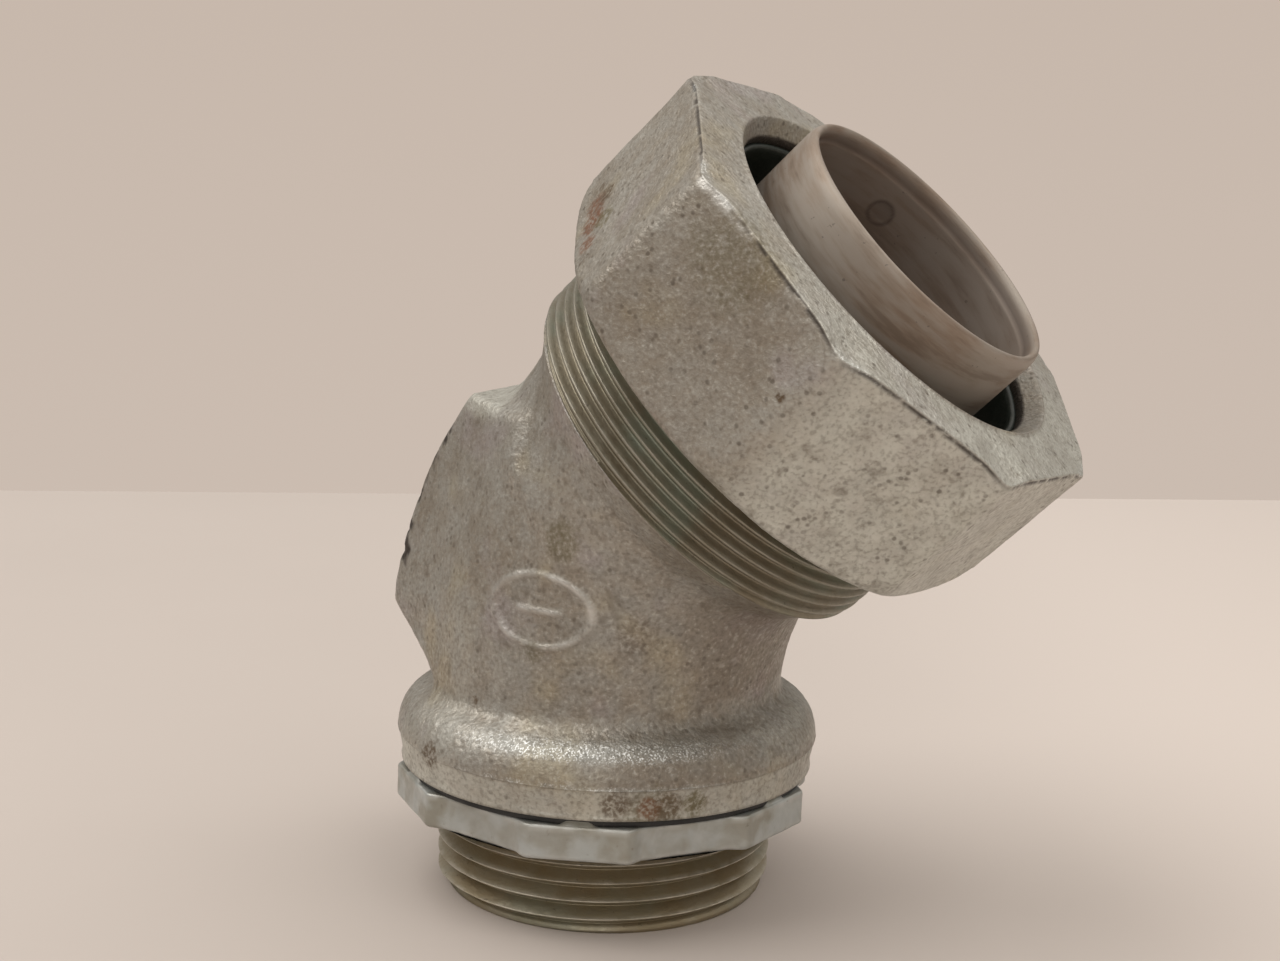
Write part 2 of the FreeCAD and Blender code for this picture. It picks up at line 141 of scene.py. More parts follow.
HUB_R = 21.05
HUB_PITCH = 25.4 / 11.5
HUB_DEPTH = 0.8 * HUB_PITCH
HUB_TAPER = 1.0 / 32.0
GLAND_R = 25.4
GLAND_PITCH = 25.4 / 16.0
GLAND_DEPTH = 0.6134 * GLAND_PITCH
FLANK = math.tan(math.radians(30))
THREAD_SLACK = 0.15             # radial gap outside an outer thread's crest
TIP_SLACK = 0.22                # radial gap at an inner thread's tip
FLANK_SLACK = 0.12              # axial gap between flanks
CREST_DING = 0.03               # depth of the small dents along a crest

SEAT_L = 30.0                   # the ferrule's seat inside the branch
SEAT_R = 22.3
TUBE_R = 17.9
SKIRT_TOP = 36.8
SKIRT_WALL = 0.85
WEB = 1.2
RIM_CURL = 1.7
RIM_INSET = 0.55
DIMPLE_L = 47.9                 # a round spot on the tube's inner wall
DIMPLE_TURN = math.radians(124)
DIMPLE_R = 1.5
RING_FRONT_R = 22.1
RING_GAP = 0.08

NUT_APOTHEM = 29.6
NUT_BACK_R = 26.6
NUT_DOME = 4.1
NUT_EDGE = 0.55
NUT_BORE_R = GLAND_R + 0.5
NUT_THREAD_END = 38.2
NUT_MOUTH_R = 23.5
NUT_LIP_L = 47.15
NUT_FACE_DROP = 0.5
NUT_TURN = math.radians(16)      # to the first corner
# painted light and shade on the flats from the first corner on, painted shade -1 and painted light 1, and
# where the front edge is rubbed bright
NUT_FACET_PAINTED_LIGHT = (0.1, 0.0, 0.1, 0.0, -0.15, -0.4, 0.95, 0.8)
RUBBED_TURN = math.radians(230)

LOCK_TOP = -0.9
LOCK_NOTCH_R = 25.0
LOCK_LUGS = 6
LOCK_HALF = math.radians(14.3)
LOCK_FIRST = math.radians(-9.5)
LOCK_EDGE = 0.5
LOCK_TOP_EDGE = (0.3, 0.35)     # width and height of the rounded upper edge
TOOTH_HALF = math.radians(2.5), math.radians(5.5)   # half widths of a tooth's top and foot

MARK_Z = 22.5
MARK_X = 1.6
MARK_HALF = (6.5, 4.2)
MARK_LINE = 0.5
MARK_RAISE = 0.32
MARK_BAR_HALF = 3.0


# ---- repeatable noise
SKEW = np.array(Matrix.Rotation(1.1, 3, Vector((1, 2, 3)).normalized()))
CELL_PRIMES = (73856093, 19349663, 83492791)
MIXING = ((13, 1274126177), (15, 461845907), (16, 1))
LOW_BITS = 0xFFFFFF


def cell_random(cells, seed):
    """A repeatable number from 0 to 1 for each whole-number cell."""
    mixed = seed * CELL_PRIMES[2]
    for axis, prime in enumerate(CELL_PRIMES):
        mixed = mixed ^ cells[..., axis] * prime
    for shift, prime in MIXING:
        mixed = (mixed ^ (mixed >> shift)) * prime
    return (mixed & LOW_BITS) / LOW_BITS


def lumps(points, size, seed):
    """Smooth random field from -1 to 1 whose lumps are about size across."""
    scaled = points @ SKEW / size + seed * 7.31
    base = np.floor(scaled).astype(np.int64)
    part = scaled - base
    part = part * part * part * (part * (part * 6 - 15) + 10)
    total = np.zeros(len(points))
    for corner in np.ndindex(2, 2, 2):
        weight = np.ones(len(points))
        for axis in range(3):
            weight = weight * (part[:, axis] if corner[axis] else 1 - part[:, axis])
        total += weight * cell_random(base + np.array(corner), seed)
    return 2 * total - 1


def pits(points, size, seed, share, radius):
    """Random round pits, from 0 to 1 deep: one in some cells of a grid of size, up to radius wide."""
    scaled = points / size
    base = np.floor(scaled).astype(np.int64)
    deepest = np.zeros(len(points))
    for corner in np.ndindex(3, 3, 3):
        cell = base + np.array(corner) - 1
        place = np.stack([cell_random(cell, seed + i) for i in range(3)], axis=1)
        distance = np.linalg.norm((cell + place - scaled) * size, axis=1)
        wide = radius * (0.35 + 0.65 * cell_random(cell, seed + 4))
        there = cell_random(cell, seed + 5) < share
        deepest = np.maximum(deepest, np.where(there, np.clip(1 - distance / wide, 0, 1), 0))
    return deepest


def step(value, low, high):
    """Smooth step from 0 at low to 1 at high."""
    share = np.clip((value - low) / (high - low), 0, 1)
    return share * share * (3 - 2 * share)


def smooth_min(a, b, width):
    """The smaller of two distances, with a fillet between them."""
    share = np.clip(0.5 + 0.5 * (b - a) / width, 0, 1)
    return b + (a - b) * share - width * share * (1 - share)


def smooth_max(a, b, width):
    """The larger of two distances, with a rounded edge between them."""
    return -smooth_min(-a, -b, width)


# ---- meshes
def quads(rows, columns, looped=False, shift=0):
    """Faces of a grid whose columns go right round. The last column joins the first, shift rows up."""
    row = np.arange(rows if looped else rows - 1)[:, None]
    column = np.arange(columns)[None, :]
    following = (column + 1) % columns
    wrapped = (following == 0) * shift
    upper = (row + 1) % rows if looped else row + 1
    faces = np.stack([
        row * columns + column,
        (row + wrapped) * columns + following,
        (upper + wrapped) * columns + following,
        upper * columns + column,
    ], axis=-1)
    keep = (upper + wrapped < rows) if shift else np.ones((len(row), columns), bool)
    return faces[keep].reshape(-1, 4)


def welded(points, faces):
    """Joins points that coincide, and drops the corners and faces that this makes needless."""
    rounded = np.round(points * 1e4).astype(np.int64)
    _, first, which = np.unique(rounded, axis=0, return_index=True, return_inverse=True)
    which = which.reshape(-1)
    kept = []
    for face in which[faces].tolist():
        corners = [corner for i, corner in enumerate(face) if corner != face[i - 1]]
        if len(corners) > 2:
            kept.append(corners)
    return points[first], kept, first


def make_piece(name, points, faces, material, body, marks=None):
    """Makes a smooth mesh piece from millimetre points and lets it ride on a CAD body."""
    places, kept, first = welded(points, faces)
    mesh = bpy.data.meshes.new(name)
    mesh.from_pydata((places * MM).tolist(), [], kept)
    for mark, values in (marks or {}).items():
        attribute = mesh.attributes.new(mark, "FLOAT", "POINT")
        attribute.data.foreach_set("value", np.asarray(values, np.float32)[first])
    mesh.shade_smooth()
    mesh.materials.append(material)
    piece = bpy.data.objects.new(name, mesh)
    bpy.context.scene.collection.objects.link(piece)
    face_outwards(piece)
    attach(piece, body)
    return piece


def make_loop(name, points, columns, material, body, marks=None):
    """Makes a piece from the points of a grid whose rows and columns both loop."""
    faces = quads(len(points) // columns, columns, looped=True)
    return make_piece(name, points, faces, material, body, marks)


def face_outwards(piece):
    """Turns every face outwards, by the sign of the volume that the faces enclose."""
    mesh = piece.data
    mesh.calc_loop_triangles()
    count = len(mesh.loop_triangles)
    corners = np.zeros(count * 3, np.int32)
    mesh.loop_triangles.foreach_get("vertices", corners)
    places = np.zeros(len(mesh.vertices) * 3)
    mesh.vertices.foreach_get("co", places)
    a, b, c = (places.reshape(-1, 3)[corners.reshape(-1, 3)[:, i]] for i in range(3))
    if np.einsum("ij,ij->", a, np.cross(b, c)) < 0:
        mesh.flip_normals()


def grid_normals(grid):
    """Outward normals of a grid of points whose rows and columns both loop."""
    up = np.roll(grid, -1, axis=0) - np.roll(grid, 1, axis=0)
    around = np.roll(grid, -1, axis=1) - np.roll(grid, 1, axis=1)
    normal = np.cross(around, up)
    length = np.linalg.norm(normal, axis=2, keepdims=True)
    return normal / np.maximum(length, 1e-9)


def from_axis(points, origin, axis):
    """Unit directions from an axis straight out to points."""
    offset = points - origin
    offset = offset - np.outer(offset @ axis, axis)
    return offset / np.linalg.norm(offset, axis=1, keepdims=True)


def about(axis_origin, axis, across, radius, height, angle):
    """Points at a radius, a height and an angle about an axis."""
    side = np.cross(axis, across)
    flat = np.multiply.outer(np.cos(angle), across) + np.multiply.outer(np.sin(angle), side)
    return axis_origin + radius[..., None] * flat + np.multiply.outer(height, axis)


def angles(columns):
    return np.arange(columns) * FULL / columns


def ring_grid(profile, columns, origin, axis, across):
    """Grid of (radius, height) rows turned about an axis. A row's entries may vary by column."""
    angle = np.broadcast_to(angles(columns), (len(profile), columns))
    radius = np.stack([np.broadcast_to(row[0], (columns,)) for row in profile])
    height = np.stack([np.broadcast_to(row[1], (columns,)) for row in profile])
    return about(origin, axis, across, radius, height, angle), radius, height, angle


def between(start, end, count):
    """Count values from start up to, and not including, end."""
    return np.linspace(start, end, count, endpoint=False)


def segments(corners, spacing):
    """Closed outline of (radius, height) corners, with points about spacing apart on each side."""
    rows = []
    for here, there in zip(corners, corners[1:] + corners[:1]):
        length = math.hypot(there[0] - here[0], there[1] - here[1])
        for share in between(0, 1, max(1, math.ceil(length / spacing))):
            rows.append(tuple(a + share * (b - a) for a, b in zip(here, there)))
    return rows


# ---- material tools
def node(tree, kind, inputs=None, **settings):
    """Adds a shader node. An input is a value, or another node's output."""
    made = tree.nodes.new("ShaderNode" + kind)
    for key, value in settings.items():
        setattr(made, key, value)
    for key, value in (inputs or {}).items():
        if isinstance(value, bpy.types.NodeSocket):
            tree.links.new(value, made.inputs[key])
        else:
            made.inputs[key].default_value = value
    return made


def new_material(name):
    material = bpy.data.materials.new(name)
    material.use_nodes = True
    material.node_tree.nodes.clear()
    return material, material.node_tree


def place(tree):
    return node(tree, "TexCoord").outputs["Object"]


def noise(tree, size, detail=3.0, rough=0.55, warp=0.0, where=None):
    """Noise from 0 to 1, with features about size millimetres across."""
    inputs = {"Vector": where or place(tree), "Scale": 1 / (size * MM)}
    inputs.update({"Detail": detail, "Roughness": rough, "Distortion": warp})
    return node(tree, "TexNoise", inputs).outputs["Fac"]


def dots(tree, spacing, inner, outer):
    """Round dots about spacing millimetres apart: 1 within inner of the spacing, 0 beyond outer of it."""
    made = node(tree, "TexVoronoi", {"Vector": place(tree), "Scale": 1 / (spacing * MM)})
    return fit(tree, made.outputs["Distance"], inner, outer, 1, 0)


def fit(tree, value, low, high, to_low=0.0, to_high=1.0):
    """Maps low..high to to_low..to_high, smoothly and clamped."""
    inputs = {"Value": value, "From Min": low, "From Max": high, "To Min": to_low, "To Max": to_high}
    return node(tree, "MapRange", inputs, interpolation_type="SMOOTHSTEP").outputs["Result"]


def mark_value(tree, name):
    return node(tree, "Attribute", attribute_name=name).outputs["Fac"]


def maths(tree, operation, a, b):
    return node(tree, "Math", {0: a, 1: b}, operation=operation).outputs[0]


def times(tree, a, b):
    return maths(tree, "MULTIPLY", a, b)


def colour(tree, share, a, b):
    """Colour a turning into colour b by a share."""
    made = node(tree, "Mix", data_type="RGBA")
    for index, value in ((0, share), (6, a), (7, b)):
        if isinstance(value, bpy.types.NodeSocket):
            tree.links.new(value, made.inputs[index])
        else:
            made.inputs[index].default_value = value if index == 0 else (*value, 1.0)
    return made.outputs[2]


def layered(tree, base, layers):
    """Lays (share, shade) layers over a base colour, in order."""
    for share, shade in layers:
        base = colour(tree, share, base, shade)
    return base


def patch(tree, centre, size):
    """A ragged, speckled stain from 0 to 1 round a point given in millimetres."""
    centre_m = tuple(value * MM for value in centre)
    offset = node(tree, "VectorMath", {0: place(tree), 1: centre_m}, operation="DISTANCE").outputs["Value"]
    ragged = maths(tree, "ADD", offset, times(tree, noise(tree, 0.7 * size, 5, 0.7), -size * MM))
    whole = fit(tree, ragged, 0.0, size * MM * 0.5, 1, 0)
    return times(tree, whole, fit(tree, noise(tree, 0.5, 3, 0.6), 0.36, 0.58, 0.3, 1))


def finish_material(tree, base, metallic, rough, height, bump_mm):
    """Joins colour, metal, roughness and a bump height into the surface."""
    bump = node(tree, "Bump", {"Height": height, "Distance": bump_mm * MM, "Strength": 1.0})
    surface = node(tree, "BsdfPrincipled", {
        "Base Color": base, "Metallic": metallic, "Roughness": rough, "Normal": bump.outputs["Normal"],
    })
    out = node(tree, "OutputMaterial")
    tree.links.new(surface.outputs["BSDF"], out.inputs["Surface"])


# ---- materials
def zinc_casting(name, stains, pits_share, tone):
    """Dulled zinc plate on a sandy casting: warm grey, faint tints, dark pores, rubbed high spots, painted
    shade in pits with painted highlights on bumps, painted glints, and painted light and shade laid on from
    a mark.
    """
    material, tree = new_material(name)
    light, warm, cool = (
        tuple(value * tone for value in shade)
        for shade in ((0.47, 0.44, 0.385), (0.37, 0.325, 0.265), (0.42, 0.42, 0.395))
    )
    mottle = fit(tree, noise(tree, 3.2, 4, 0.65), 0.3, 0.7)
    tint = noise(tree, 9, 2, 0.5)
    painted_light_and_shade = mark_value(tree, "painted_light_and_shade")
    grain = noise(tree, 0.5, 2, 0.5)
    painted_relief_shading = mark_value(tree, "painted_relief_shading")
    worn = mark_value(tree, "worn")
    painted_glint = mark_value(tree, "painted_glint")
    patchy = fit(tree, noise(tree, 3.5, 4, 0.6), 0.3, 0.7, 0.6, 1.1)
    crowded = fit(tree, noise(tree, 4, 3, 0.6), 0.36, 0.62, 0.15, 1)
    pores = times(tree, dots(tree, 1.25, 0.12, 0.30), crowded)
    painted_glint_specks = times(tree, fit(tree, noise(tree, 0.24, 1, 0.5), 0.54, 0.64), painted_glint)
    layers = [
        (times(tree, mottle, 0.5), cool),
        (fit(tree, tint, 0.56, 0.72, 0, 0.25), (0.45, 0.37, 0.20)),
        (fit(tree, tint, 0.44, 0.28, 0, 0.25), (0.40, 0.33, 0.37)),
        # painted light where the mark is above 0, painted shade where it is below 0
        (times(tree, fit(tree, painted_light_and_shade, 0, 1, 0, 0.85), patchy), (0.60, 0.60, 0.54)),
        (fit(tree, painted_light_and_shade, 0, -1, 0, 0.85), (0.20, 0.155, 0.11)),
        (fit(tree, grain, 0.48, 0.66, 0, 0.30), (0.15, 0.12, 0.09)),
        (fit(tree, grain, 0.42, 0.30, 0, 0.28), (0.62, 0.60, 0.55)),
        # painted shade in the pits and hollows of the grain, painted highlight on its bumps and on the
        # raised mark
        (fit(tree, painted_relief_shading, -0.15, -0.85, 0, 0.45), (0.13, 0.10, 0.07)),
        (fit(tree, painted_relief_shading, 0.2, 0.8, 0, 0.25), (0.58, 0.57, 0.53)),
        (times(tree, pores, pits_share), (0.09, 0.07, 0.05)),
    ]
    for centre, size, shade, amount in stains:
        layers.append((times(tree, patch(tree, centre, size), amount), shade))
    layers += [
        # real parting scar and chips, painted shadow in the nut's mouth, and painted shade in the ferrule's
        # groove
        (mark_value(tree, "scar_and_painted_shade"), (0.045, 0.035, 0.028)),
        (times(tree, worn, 0.6), (0.70, 0.69, 0.66)),
        # painted highlight, with brighter glint specks in it, on the flange's shoulder and lip and near the
        # nut's face corners
        (times(tree, painted_glint, 0.22), (0.50, 0.56, 0.57)),
        (times(tree, painted_glint_specks, 0.85), (0.95, 0.97, 0.96)),
    ]
    broad = fit(tree, noise(tree, 14, 3, 0.6), 0.32, 0.68)
    base = layered(tree, colour(tree, broad, light, warm), layers)
    rough = fit(tree, maths(tree, "ADD", grain, times(tree, mottle, 0.4)), 0.3, 1.0, 0.38, 0.60)
    rough = maths(tree, "SUBTRACT", rough, times(tree, worn, 0.10))
    height = maths(tree, "ADD", grain, noise(tree, 1.5, 2, 0.5))
    finish_material(tree, base, 0.60, rough, height, 0.14)
    return material


def thread_zinc(name, groove_tones, green, crest_tone):
    """Zinc on cut threads: olive brown in the grooves, lighter on the crests."""
    material, tree = new_material(name)
    broken = fit(tree, noise(tree, 3.5, 4, 0.65), 0.36, 0.6, 0.25, 1)
    base = layered(tree, colour(tree, fit(tree, noise(tree, 6, 3, 0.6), 0.3, 0.7), *groove_tones), [
        (fit(tree, noise(tree, 9, 3, 0.5), 0.45, 0.7, 0, green), (0.25, 0.31, 0.26)),
        (times(tree, fit(tree, mark_value(tree, "crest"), 0.55, 0.95), broken), crest_tone),
        (fit(tree, noise(tree, 0.7, 3, 0.6), 0.66, 0.74, 0, 0.5), (0.08, 0.06, 0.045)),
    ])
    rough = fit(tree, noise(tree, 0.8, 3, 0.6), 0.3, 0.7, 0.32, 0.50)
    finish_material(tree, base, 0.72, rough, noise(tree, 0.5, 3, 0.6), 0.05)
    return material


def ferrule_steel():
    """Turned steel, lightly tarnished brown, with soft bands that run round the tube, painted shade inside
    it and in the groove within its rim.
    """
    material, tree = new_material("ferrule_steel")
    turned = node(tree, "Mapping", {"Vector": place(tree), "Rotation": (0, -BEND_ANGLE, 0)})
    squeezed = node(tree, "Mapping", {"Vector": turned.outputs["Vector"], "Scale": (1, 1, 7)})
    rings = noise(tree, 9, 4, 0.6, where=squeezed.outputs["Vector"])
    cloud = fit(tree, noise(tree, 11, 3, 0.5), 0.38, 0.62)
    base = layered(tree, colour(tree, cloud, (0.32, 0.275, 0.23), (0.28, 0.215, 0.165)), [
        (fit(tree, rings, 0.42, 0.60, 0, 0.55), (0.38, 0.34, 0.30)),
        (fit(tree, rings, 0.46, 0.34, 0, 0.45), (0.17, 0.125, 0.095)),
        # painted shade inside the tube, from just behind the rim
        (fit(tree, mark_value(tree, "inside"), 0, 1, 0, 0.5), (0.19, 0.145, 0.12)),
        # dark ring round the dimple, and painted shade in the groove inside the rim
        (mark_value(tree, "scar_and_painted_shade"), (0.08, 0.055, 0.045)),
        (fit(tree, noise(tree, 0.8, 2, 0.5), 0.71, 0.76, 0, 0.5), (0.10, 0.08, 0.07)),
    ])
    rough = fit(tree, rings, 0.3, 0.7, 0.50, 0.58)
    finish_material(tree, base, 0.45, rough, times(tree, rings, 0.5), 0.03)
    return material


def locknut_zinc():
    """Bright bluish zinc with white bloom and rubbed edges."""
    material, tree = new_material("locknut_zinc")
    cloud = fit(tree, noise(tree, 9, 3, 0.5), 0.35, 0.65)
    base = layered(tree, colour(tree, cloud, (0.38, 0.38, 0.35), (0.33, 0.32, 0.275)), [
        (fit(tree, noise(tree, 4.0, 3, 0.5, 0.3), 0.38, 0.66, 0, 0.6), (0.53, 0.57, 0.575)),
        (times(tree, mark_value(tree, "worn"), 0.6), (0.56, 0.57, 0.55)),
        (fit(tree, noise(tree, 1.4, 4, 0.6), 0.64, 0.76, 0, 0.5), (0.16, 0.13, 0.09)),
    ])
    rough = fit(tree, noise(tree, 1.2, 3, 0.6), 0.3, 0.7, 0.36, 0.55)
    finish_material(tree, base, 0.6, rough, noise(tree, 0.8, 3, 0.5), 0.06)
    return material


def dark_rubber(name, base_a, base_b, rough_low, rough_high):
    """Dark moulded rubber or plastic with dust in its skin."""
    material, tree = new_material(name)
    cloud = fit(tree, noise(tree, 4, 4, 0.6), 0.35, 0.65)
    dust = fit(tree, noise(tree, 0.7, 3, 0.6), 0.62, 0.72, 0, 0.25)
    base = layered(tree, colour(tree, cloud, base_a, base_b), [(dust, (0.12, 0.11, 0.09))])
    rough = fit(tree, noise(tree, 1.5, 3, 0.6), 0.3, 0.7, rough_low, rough_high)
    finish_material(tree, base, 0.0, rough, noise(tree, 0.8, 3, 0.6), 0.05)
    return material


# ---- elbow casting
def tube_distance(points, radius):
    """Distance outside a round bar that follows the bend's centre line."""
    x, y, z = points.T
    angle = np.clip(np.arctan2(z - BEND_START, BEND_R - x), 0, BEND_ANGLE)
    centre_x = BEND_R * (1 - np.cos(angle))
    centre_z = BEND_START + BEND_R * np.sin(angle)
    outward = (centre_x - x) * np.cos(angle) + (z - centre_z) * np.sin(angle)
    return np.hypot(outward, y) - radius


def flange_distance(points):
    """Distance outside the rounded flange."""
    x, y, z = points.T
    radius = np.hypot(x, y)
    core = FLANGE_R - SHOULDER_R
    shoulder = np.hypot(np.maximum(radius - core, 0), z - FLANGE_WIDEST) - SHOULDER_R
    band = radius - (FLANGE_FOOT_R + (FLANGE_R - FLANGE_LIP - FLANGE_FOOT_R) * step(z, 0, FLANGE_WIDEST))
    return np.where(z > FLANGE_WIDEST, shoulder, band)


def swell_distance(points):
    """Distance outside the sweep behind the branch thread."""
    offset = points - ELBOW
    along = offset @ ALONG
    radius = np.linalg.norm(offset - np.outer(along, ALONG), axis=1)
    curve = np.clip(along, SWELL_START, SWELL_END) - SWELL_START
    sweep = NECK_R + SWELL_R - np.sqrt(SWELL_R ** 2 - curve ** 2)
    end_r = NECK_R + SWELL_R - math.sqrt(SWELL_R ** 2 - (SWELL_END - SWELL_START) ** 2)
    cone = (COLLAR_R - end_r) / (COLLAR_L - SWELL_END) * np.maximum(along - SWELL_END, 0)
    return smooth_max(radius - sweep - cone, SWELL_START - 2 - along, 1.5)


def circle_through(a, b, c):
    """Centre and radius of the circle through three points."""
    (ax, ay), (bx, by), (cx, cy) = a, b, c
    double = 2 * (ax * (by - cy) + bx * (cy - ay) + cx * (ay - by))
    aa, bb, cc = ax * ax + ay * ay, bx * bx + by * by, cx * cx + cy * cy
    x = (aa * (by - cy) + bb * (cy - ay) + cc * (ay - by)) / double
    y = (aa * (cx - bx) + bb * (ax - cx) + cc * (bx - ax)) / double
    return (x, y), math.hypot(ax - x, ay - y)


LUG_ARC = circle_through(LUG_SHOULDER, LUG_BULGE, LUG_TOE)


def beyond(x, z, start, end):
    """Distance outside the line from start to end, seen from the left of its direction."""
    along_x, along_z = end[0] - start[0], end[1] - start[1]
    length = math.hypot(along_x, along_z)
    return ((x - start[0]) * along_z - (z - start[1]) * along_x) / length


def lug_distance(points):
    """Distance outside the wrench lug: a wedge in plan, with a bulged outer face and a sloping shoulder."""
    x, y, z = points.T
    (cx, cz), bulge_r = LUG_ARC
    side = np.hypot(x - cx, z - cz) - bulge_r
    for start, end, soft in ((*LUG_TOP, 1.0), (LUG_CORNER, LUG_SHOULDER, 1.2), (LUG_TOE, LUG_NECK, 0.4)):
        side = smooth_max(side, beyond(x, z, start, end), soft)
    touch = (-NECK_R * math.cos(LUG_FLANK_TOUCH), NECK_R * math.sin(LUG_FLANK_TOUCH))
    toe = (LUG_TOE[0], LUG_HALF_WIDTH)
    lean = LUG_LEAN * np.maximum(z - LUG_LEAN_START, 0)
    buried = np.maximum(x + 4.0, np.abs(y) - touch[1])
    return smooth_max(np.maximum(side, buried), beyond(x - lean, np.abs(y), touch, toe), 1.3)


def cast_distance(points):
    """Distance outside the whole cast elbow."""
    body = smooth_min(tube_distance(points, NECK_R), swell_distance(points), 1.5)
    body = smooth_min(body, lug_distance(points), 2.2)
    return smooth_min(body, flange_distance(points), SHOULDER_FILLET)


def spine(s):
    """Points of the fan of section planes, and the direction in each towards the outside of the bend."""
    first = ELBOW[2] - SPINE_REACH
    angle = np.clip((s - first) / SPINE_R, 0, BEND_ANGLE)
    past = np.maximum(s - first - SPINE_R * BEND_ANGLE, 0)
    x = SPINE_R * (1 - np.cos(angle)) + past * math.sin(BEND_ANGLE)
    z = np.minimum(s, first) + SPINE_R * np.sin(angle) + past * math.cos(BEND_ANGLE)
    return np.stack([x, 0 * x, z], axis=-1), np.stack([-np.cos(angle), 0 * x, np.sin(angle)], axis=-1)


def cast_rays(s, columns, distance, near, far):
    """Grid of the points where rays from the spine leave a shape, found by halving."""
    centre, outer = spine(s)
    angle = angles(columns)
    ray = np.cos(angle)[None, :, None] * outer[:, None, :] + np.sin(angle)[None, :, None] * SIDE
    low = np.full((len(s), columns), near)
    high = np.full((len(s), columns), far)
    for _ in range(22):
        middle = (low + high) / 2
        points = centre[:, None, :] + middle[..., None] * ray
        outside = distance(points.reshape(-1, 3)).reshape(middle.shape) > 0
        high = np.where(outside, middle, high)
        low = np.where(outside, low, middle)
    return centre[:, None, :] + low[..., None] * ray


def cast_mark(points):
    """Height share of the plain raised mark: an oval rim round a bar, on the front of the neck."""
    x, y, z = points.T
    across = (x - MARK_X) / MARK_HALF[0]
    upward = (z - MARK_Z) / MARK_HALF[1]
    rim = np.abs(np.hypot(across, upward) - 1) * min(MARK_HALF) - MARK_LINE / 2
    bar = np.maximum(np.abs(x - MARK_X) - MARK_BAR_HALF, np.abs(z - MARK_Z) - MARK_LINE / 2)
    return np.where(y < 0, 1 - step(np.minimum(rim, bar), -0.25, 0.35), 0)


def elbow_casting(material):
    """The cast skin of the elbow with its flange, bend, lug and swell, closed round the wireway."""
    columns = 500
    end = ELBOW[2] + SPINE_R * BEND_ANGLE + COLLAR_L - 2 * SPINE_REACH
    rows = np.concatenate([
        between(0, 3.2, 9), between(3.2, 4.0, 6), between(4.0, 7.6, 13), between(7.6, 10.2, 15),
        between(10.2, end, 122), [end - SUNK],
    ])
    skin = cast_rays(rows, columns, cast_distance, THROAT_R, SKIN_REACH)
    lining_rows = np.linspace(end, 0, 14)
    lining = cast_rays(lining_rows, columns, lambda points: tube_distance(points, THROAT_R), 8.0, 24.0)
    cap_middle = (skin[-1] + lining[0]) / 2
    grid = np.concatenate([skin, cap_middle[None], lining])
    flat = grid.reshape(-1, 3)
    outer = np.arange(len(flat)) < len(rows) * columns
    along = (flat - ELBOW) @ ALONG
    rough_cast = step(flat[:, 2], 0.0, 0.7) * (1 - step(along, COLLAR_L - 0.7, COLLAR_L)) * outer
    sand = 0.5 * lumps(flat, 0.85, 3) + 0.35 * lumps(flat, 1.7, 5) + 0.3 * lumps(flat, 0.5, 4)
    swelling = lumps(flat, 6.5, 7)
    pit = pits(flat, 2.3, 11, 0.10, 0.32)
    raised = cast_mark(flat)
    height = rough_cast * (SAND * sand + WAVES * swelling - PIT_DEPTH * pit - 0.13) + MARK_RAISE * raised
    parting = step(lumps(flat, 1.8, 21) + 0.6 * lumps(flat, 0.8, 22) - 0.4 * lug_outer(flat), -0.35, 0.15)
    height -= rough_cast * 0.35 * parting * step(lumps(flat, 1.2, 23), -0.2, 0.7)
    normal = grid_normals(grid).reshape(-1, 3)
    normal *= np.sign((normal[:columns] * flat[:columns] * (1, 1, 0)).sum())
    moved = flat + normal * height[:, None]
    moved[:, 2] = np.maximum(moved[:, 2], 0)
    marks = {
        # painted shade in pits and painted highlight on grain bumps and the raised mark
        "painted_relief_shading": (sand - 1.2 * pit) * rough_cast + 0.4 * raised,
        "scar_and_painted_shade": np.clip(parting * 0.95, 0, 1),
        "worn": np.clip(raised * step(lumps(flat, 2.6, 25), -0.5, 0.7), 0, 1),
        # painted highlight and glints on the flange's shoulder and lip
        "painted_glint": shoulder_painted_glint(flat),
        # painted light and painted shade on the flange, lug and neck
        "painted_light_and_shade": painted_light_share(flat),
    }
    return make_loop("elbow_casting", moved, columns, material, "elbow", marks)


def shoulder_painted_glint(points):
    """Painted highlight and glints, from 0 to 1, where the flange's shoulder and lip face the light, round
    the front.
    """
    x, y, z = points.T
    radius = np.hypot(x, y)
    facing = step(np.cos(np.arctan2(y, x) - math.radians(-69)), 0.74, 0.98)
    shoulder = step(z, 6.2, 7.3) * (1 - step(z, 7.7, 8.9)) * step(radius, 21.6, 22.6)
    lip = (1 - step(np.abs(z - FLANGE_WIDEST - 0.3), 0.1, 0.4)) * step(radius, 25.2, 25.6)
    broken = step(lumps(points, 1.6, 27), -0.6, 0.4)
    return np.clip(0.95 * shoulder * (0.12 + 0.88 * facing) + 0.6 * lip * broken * facing, 0, 1)


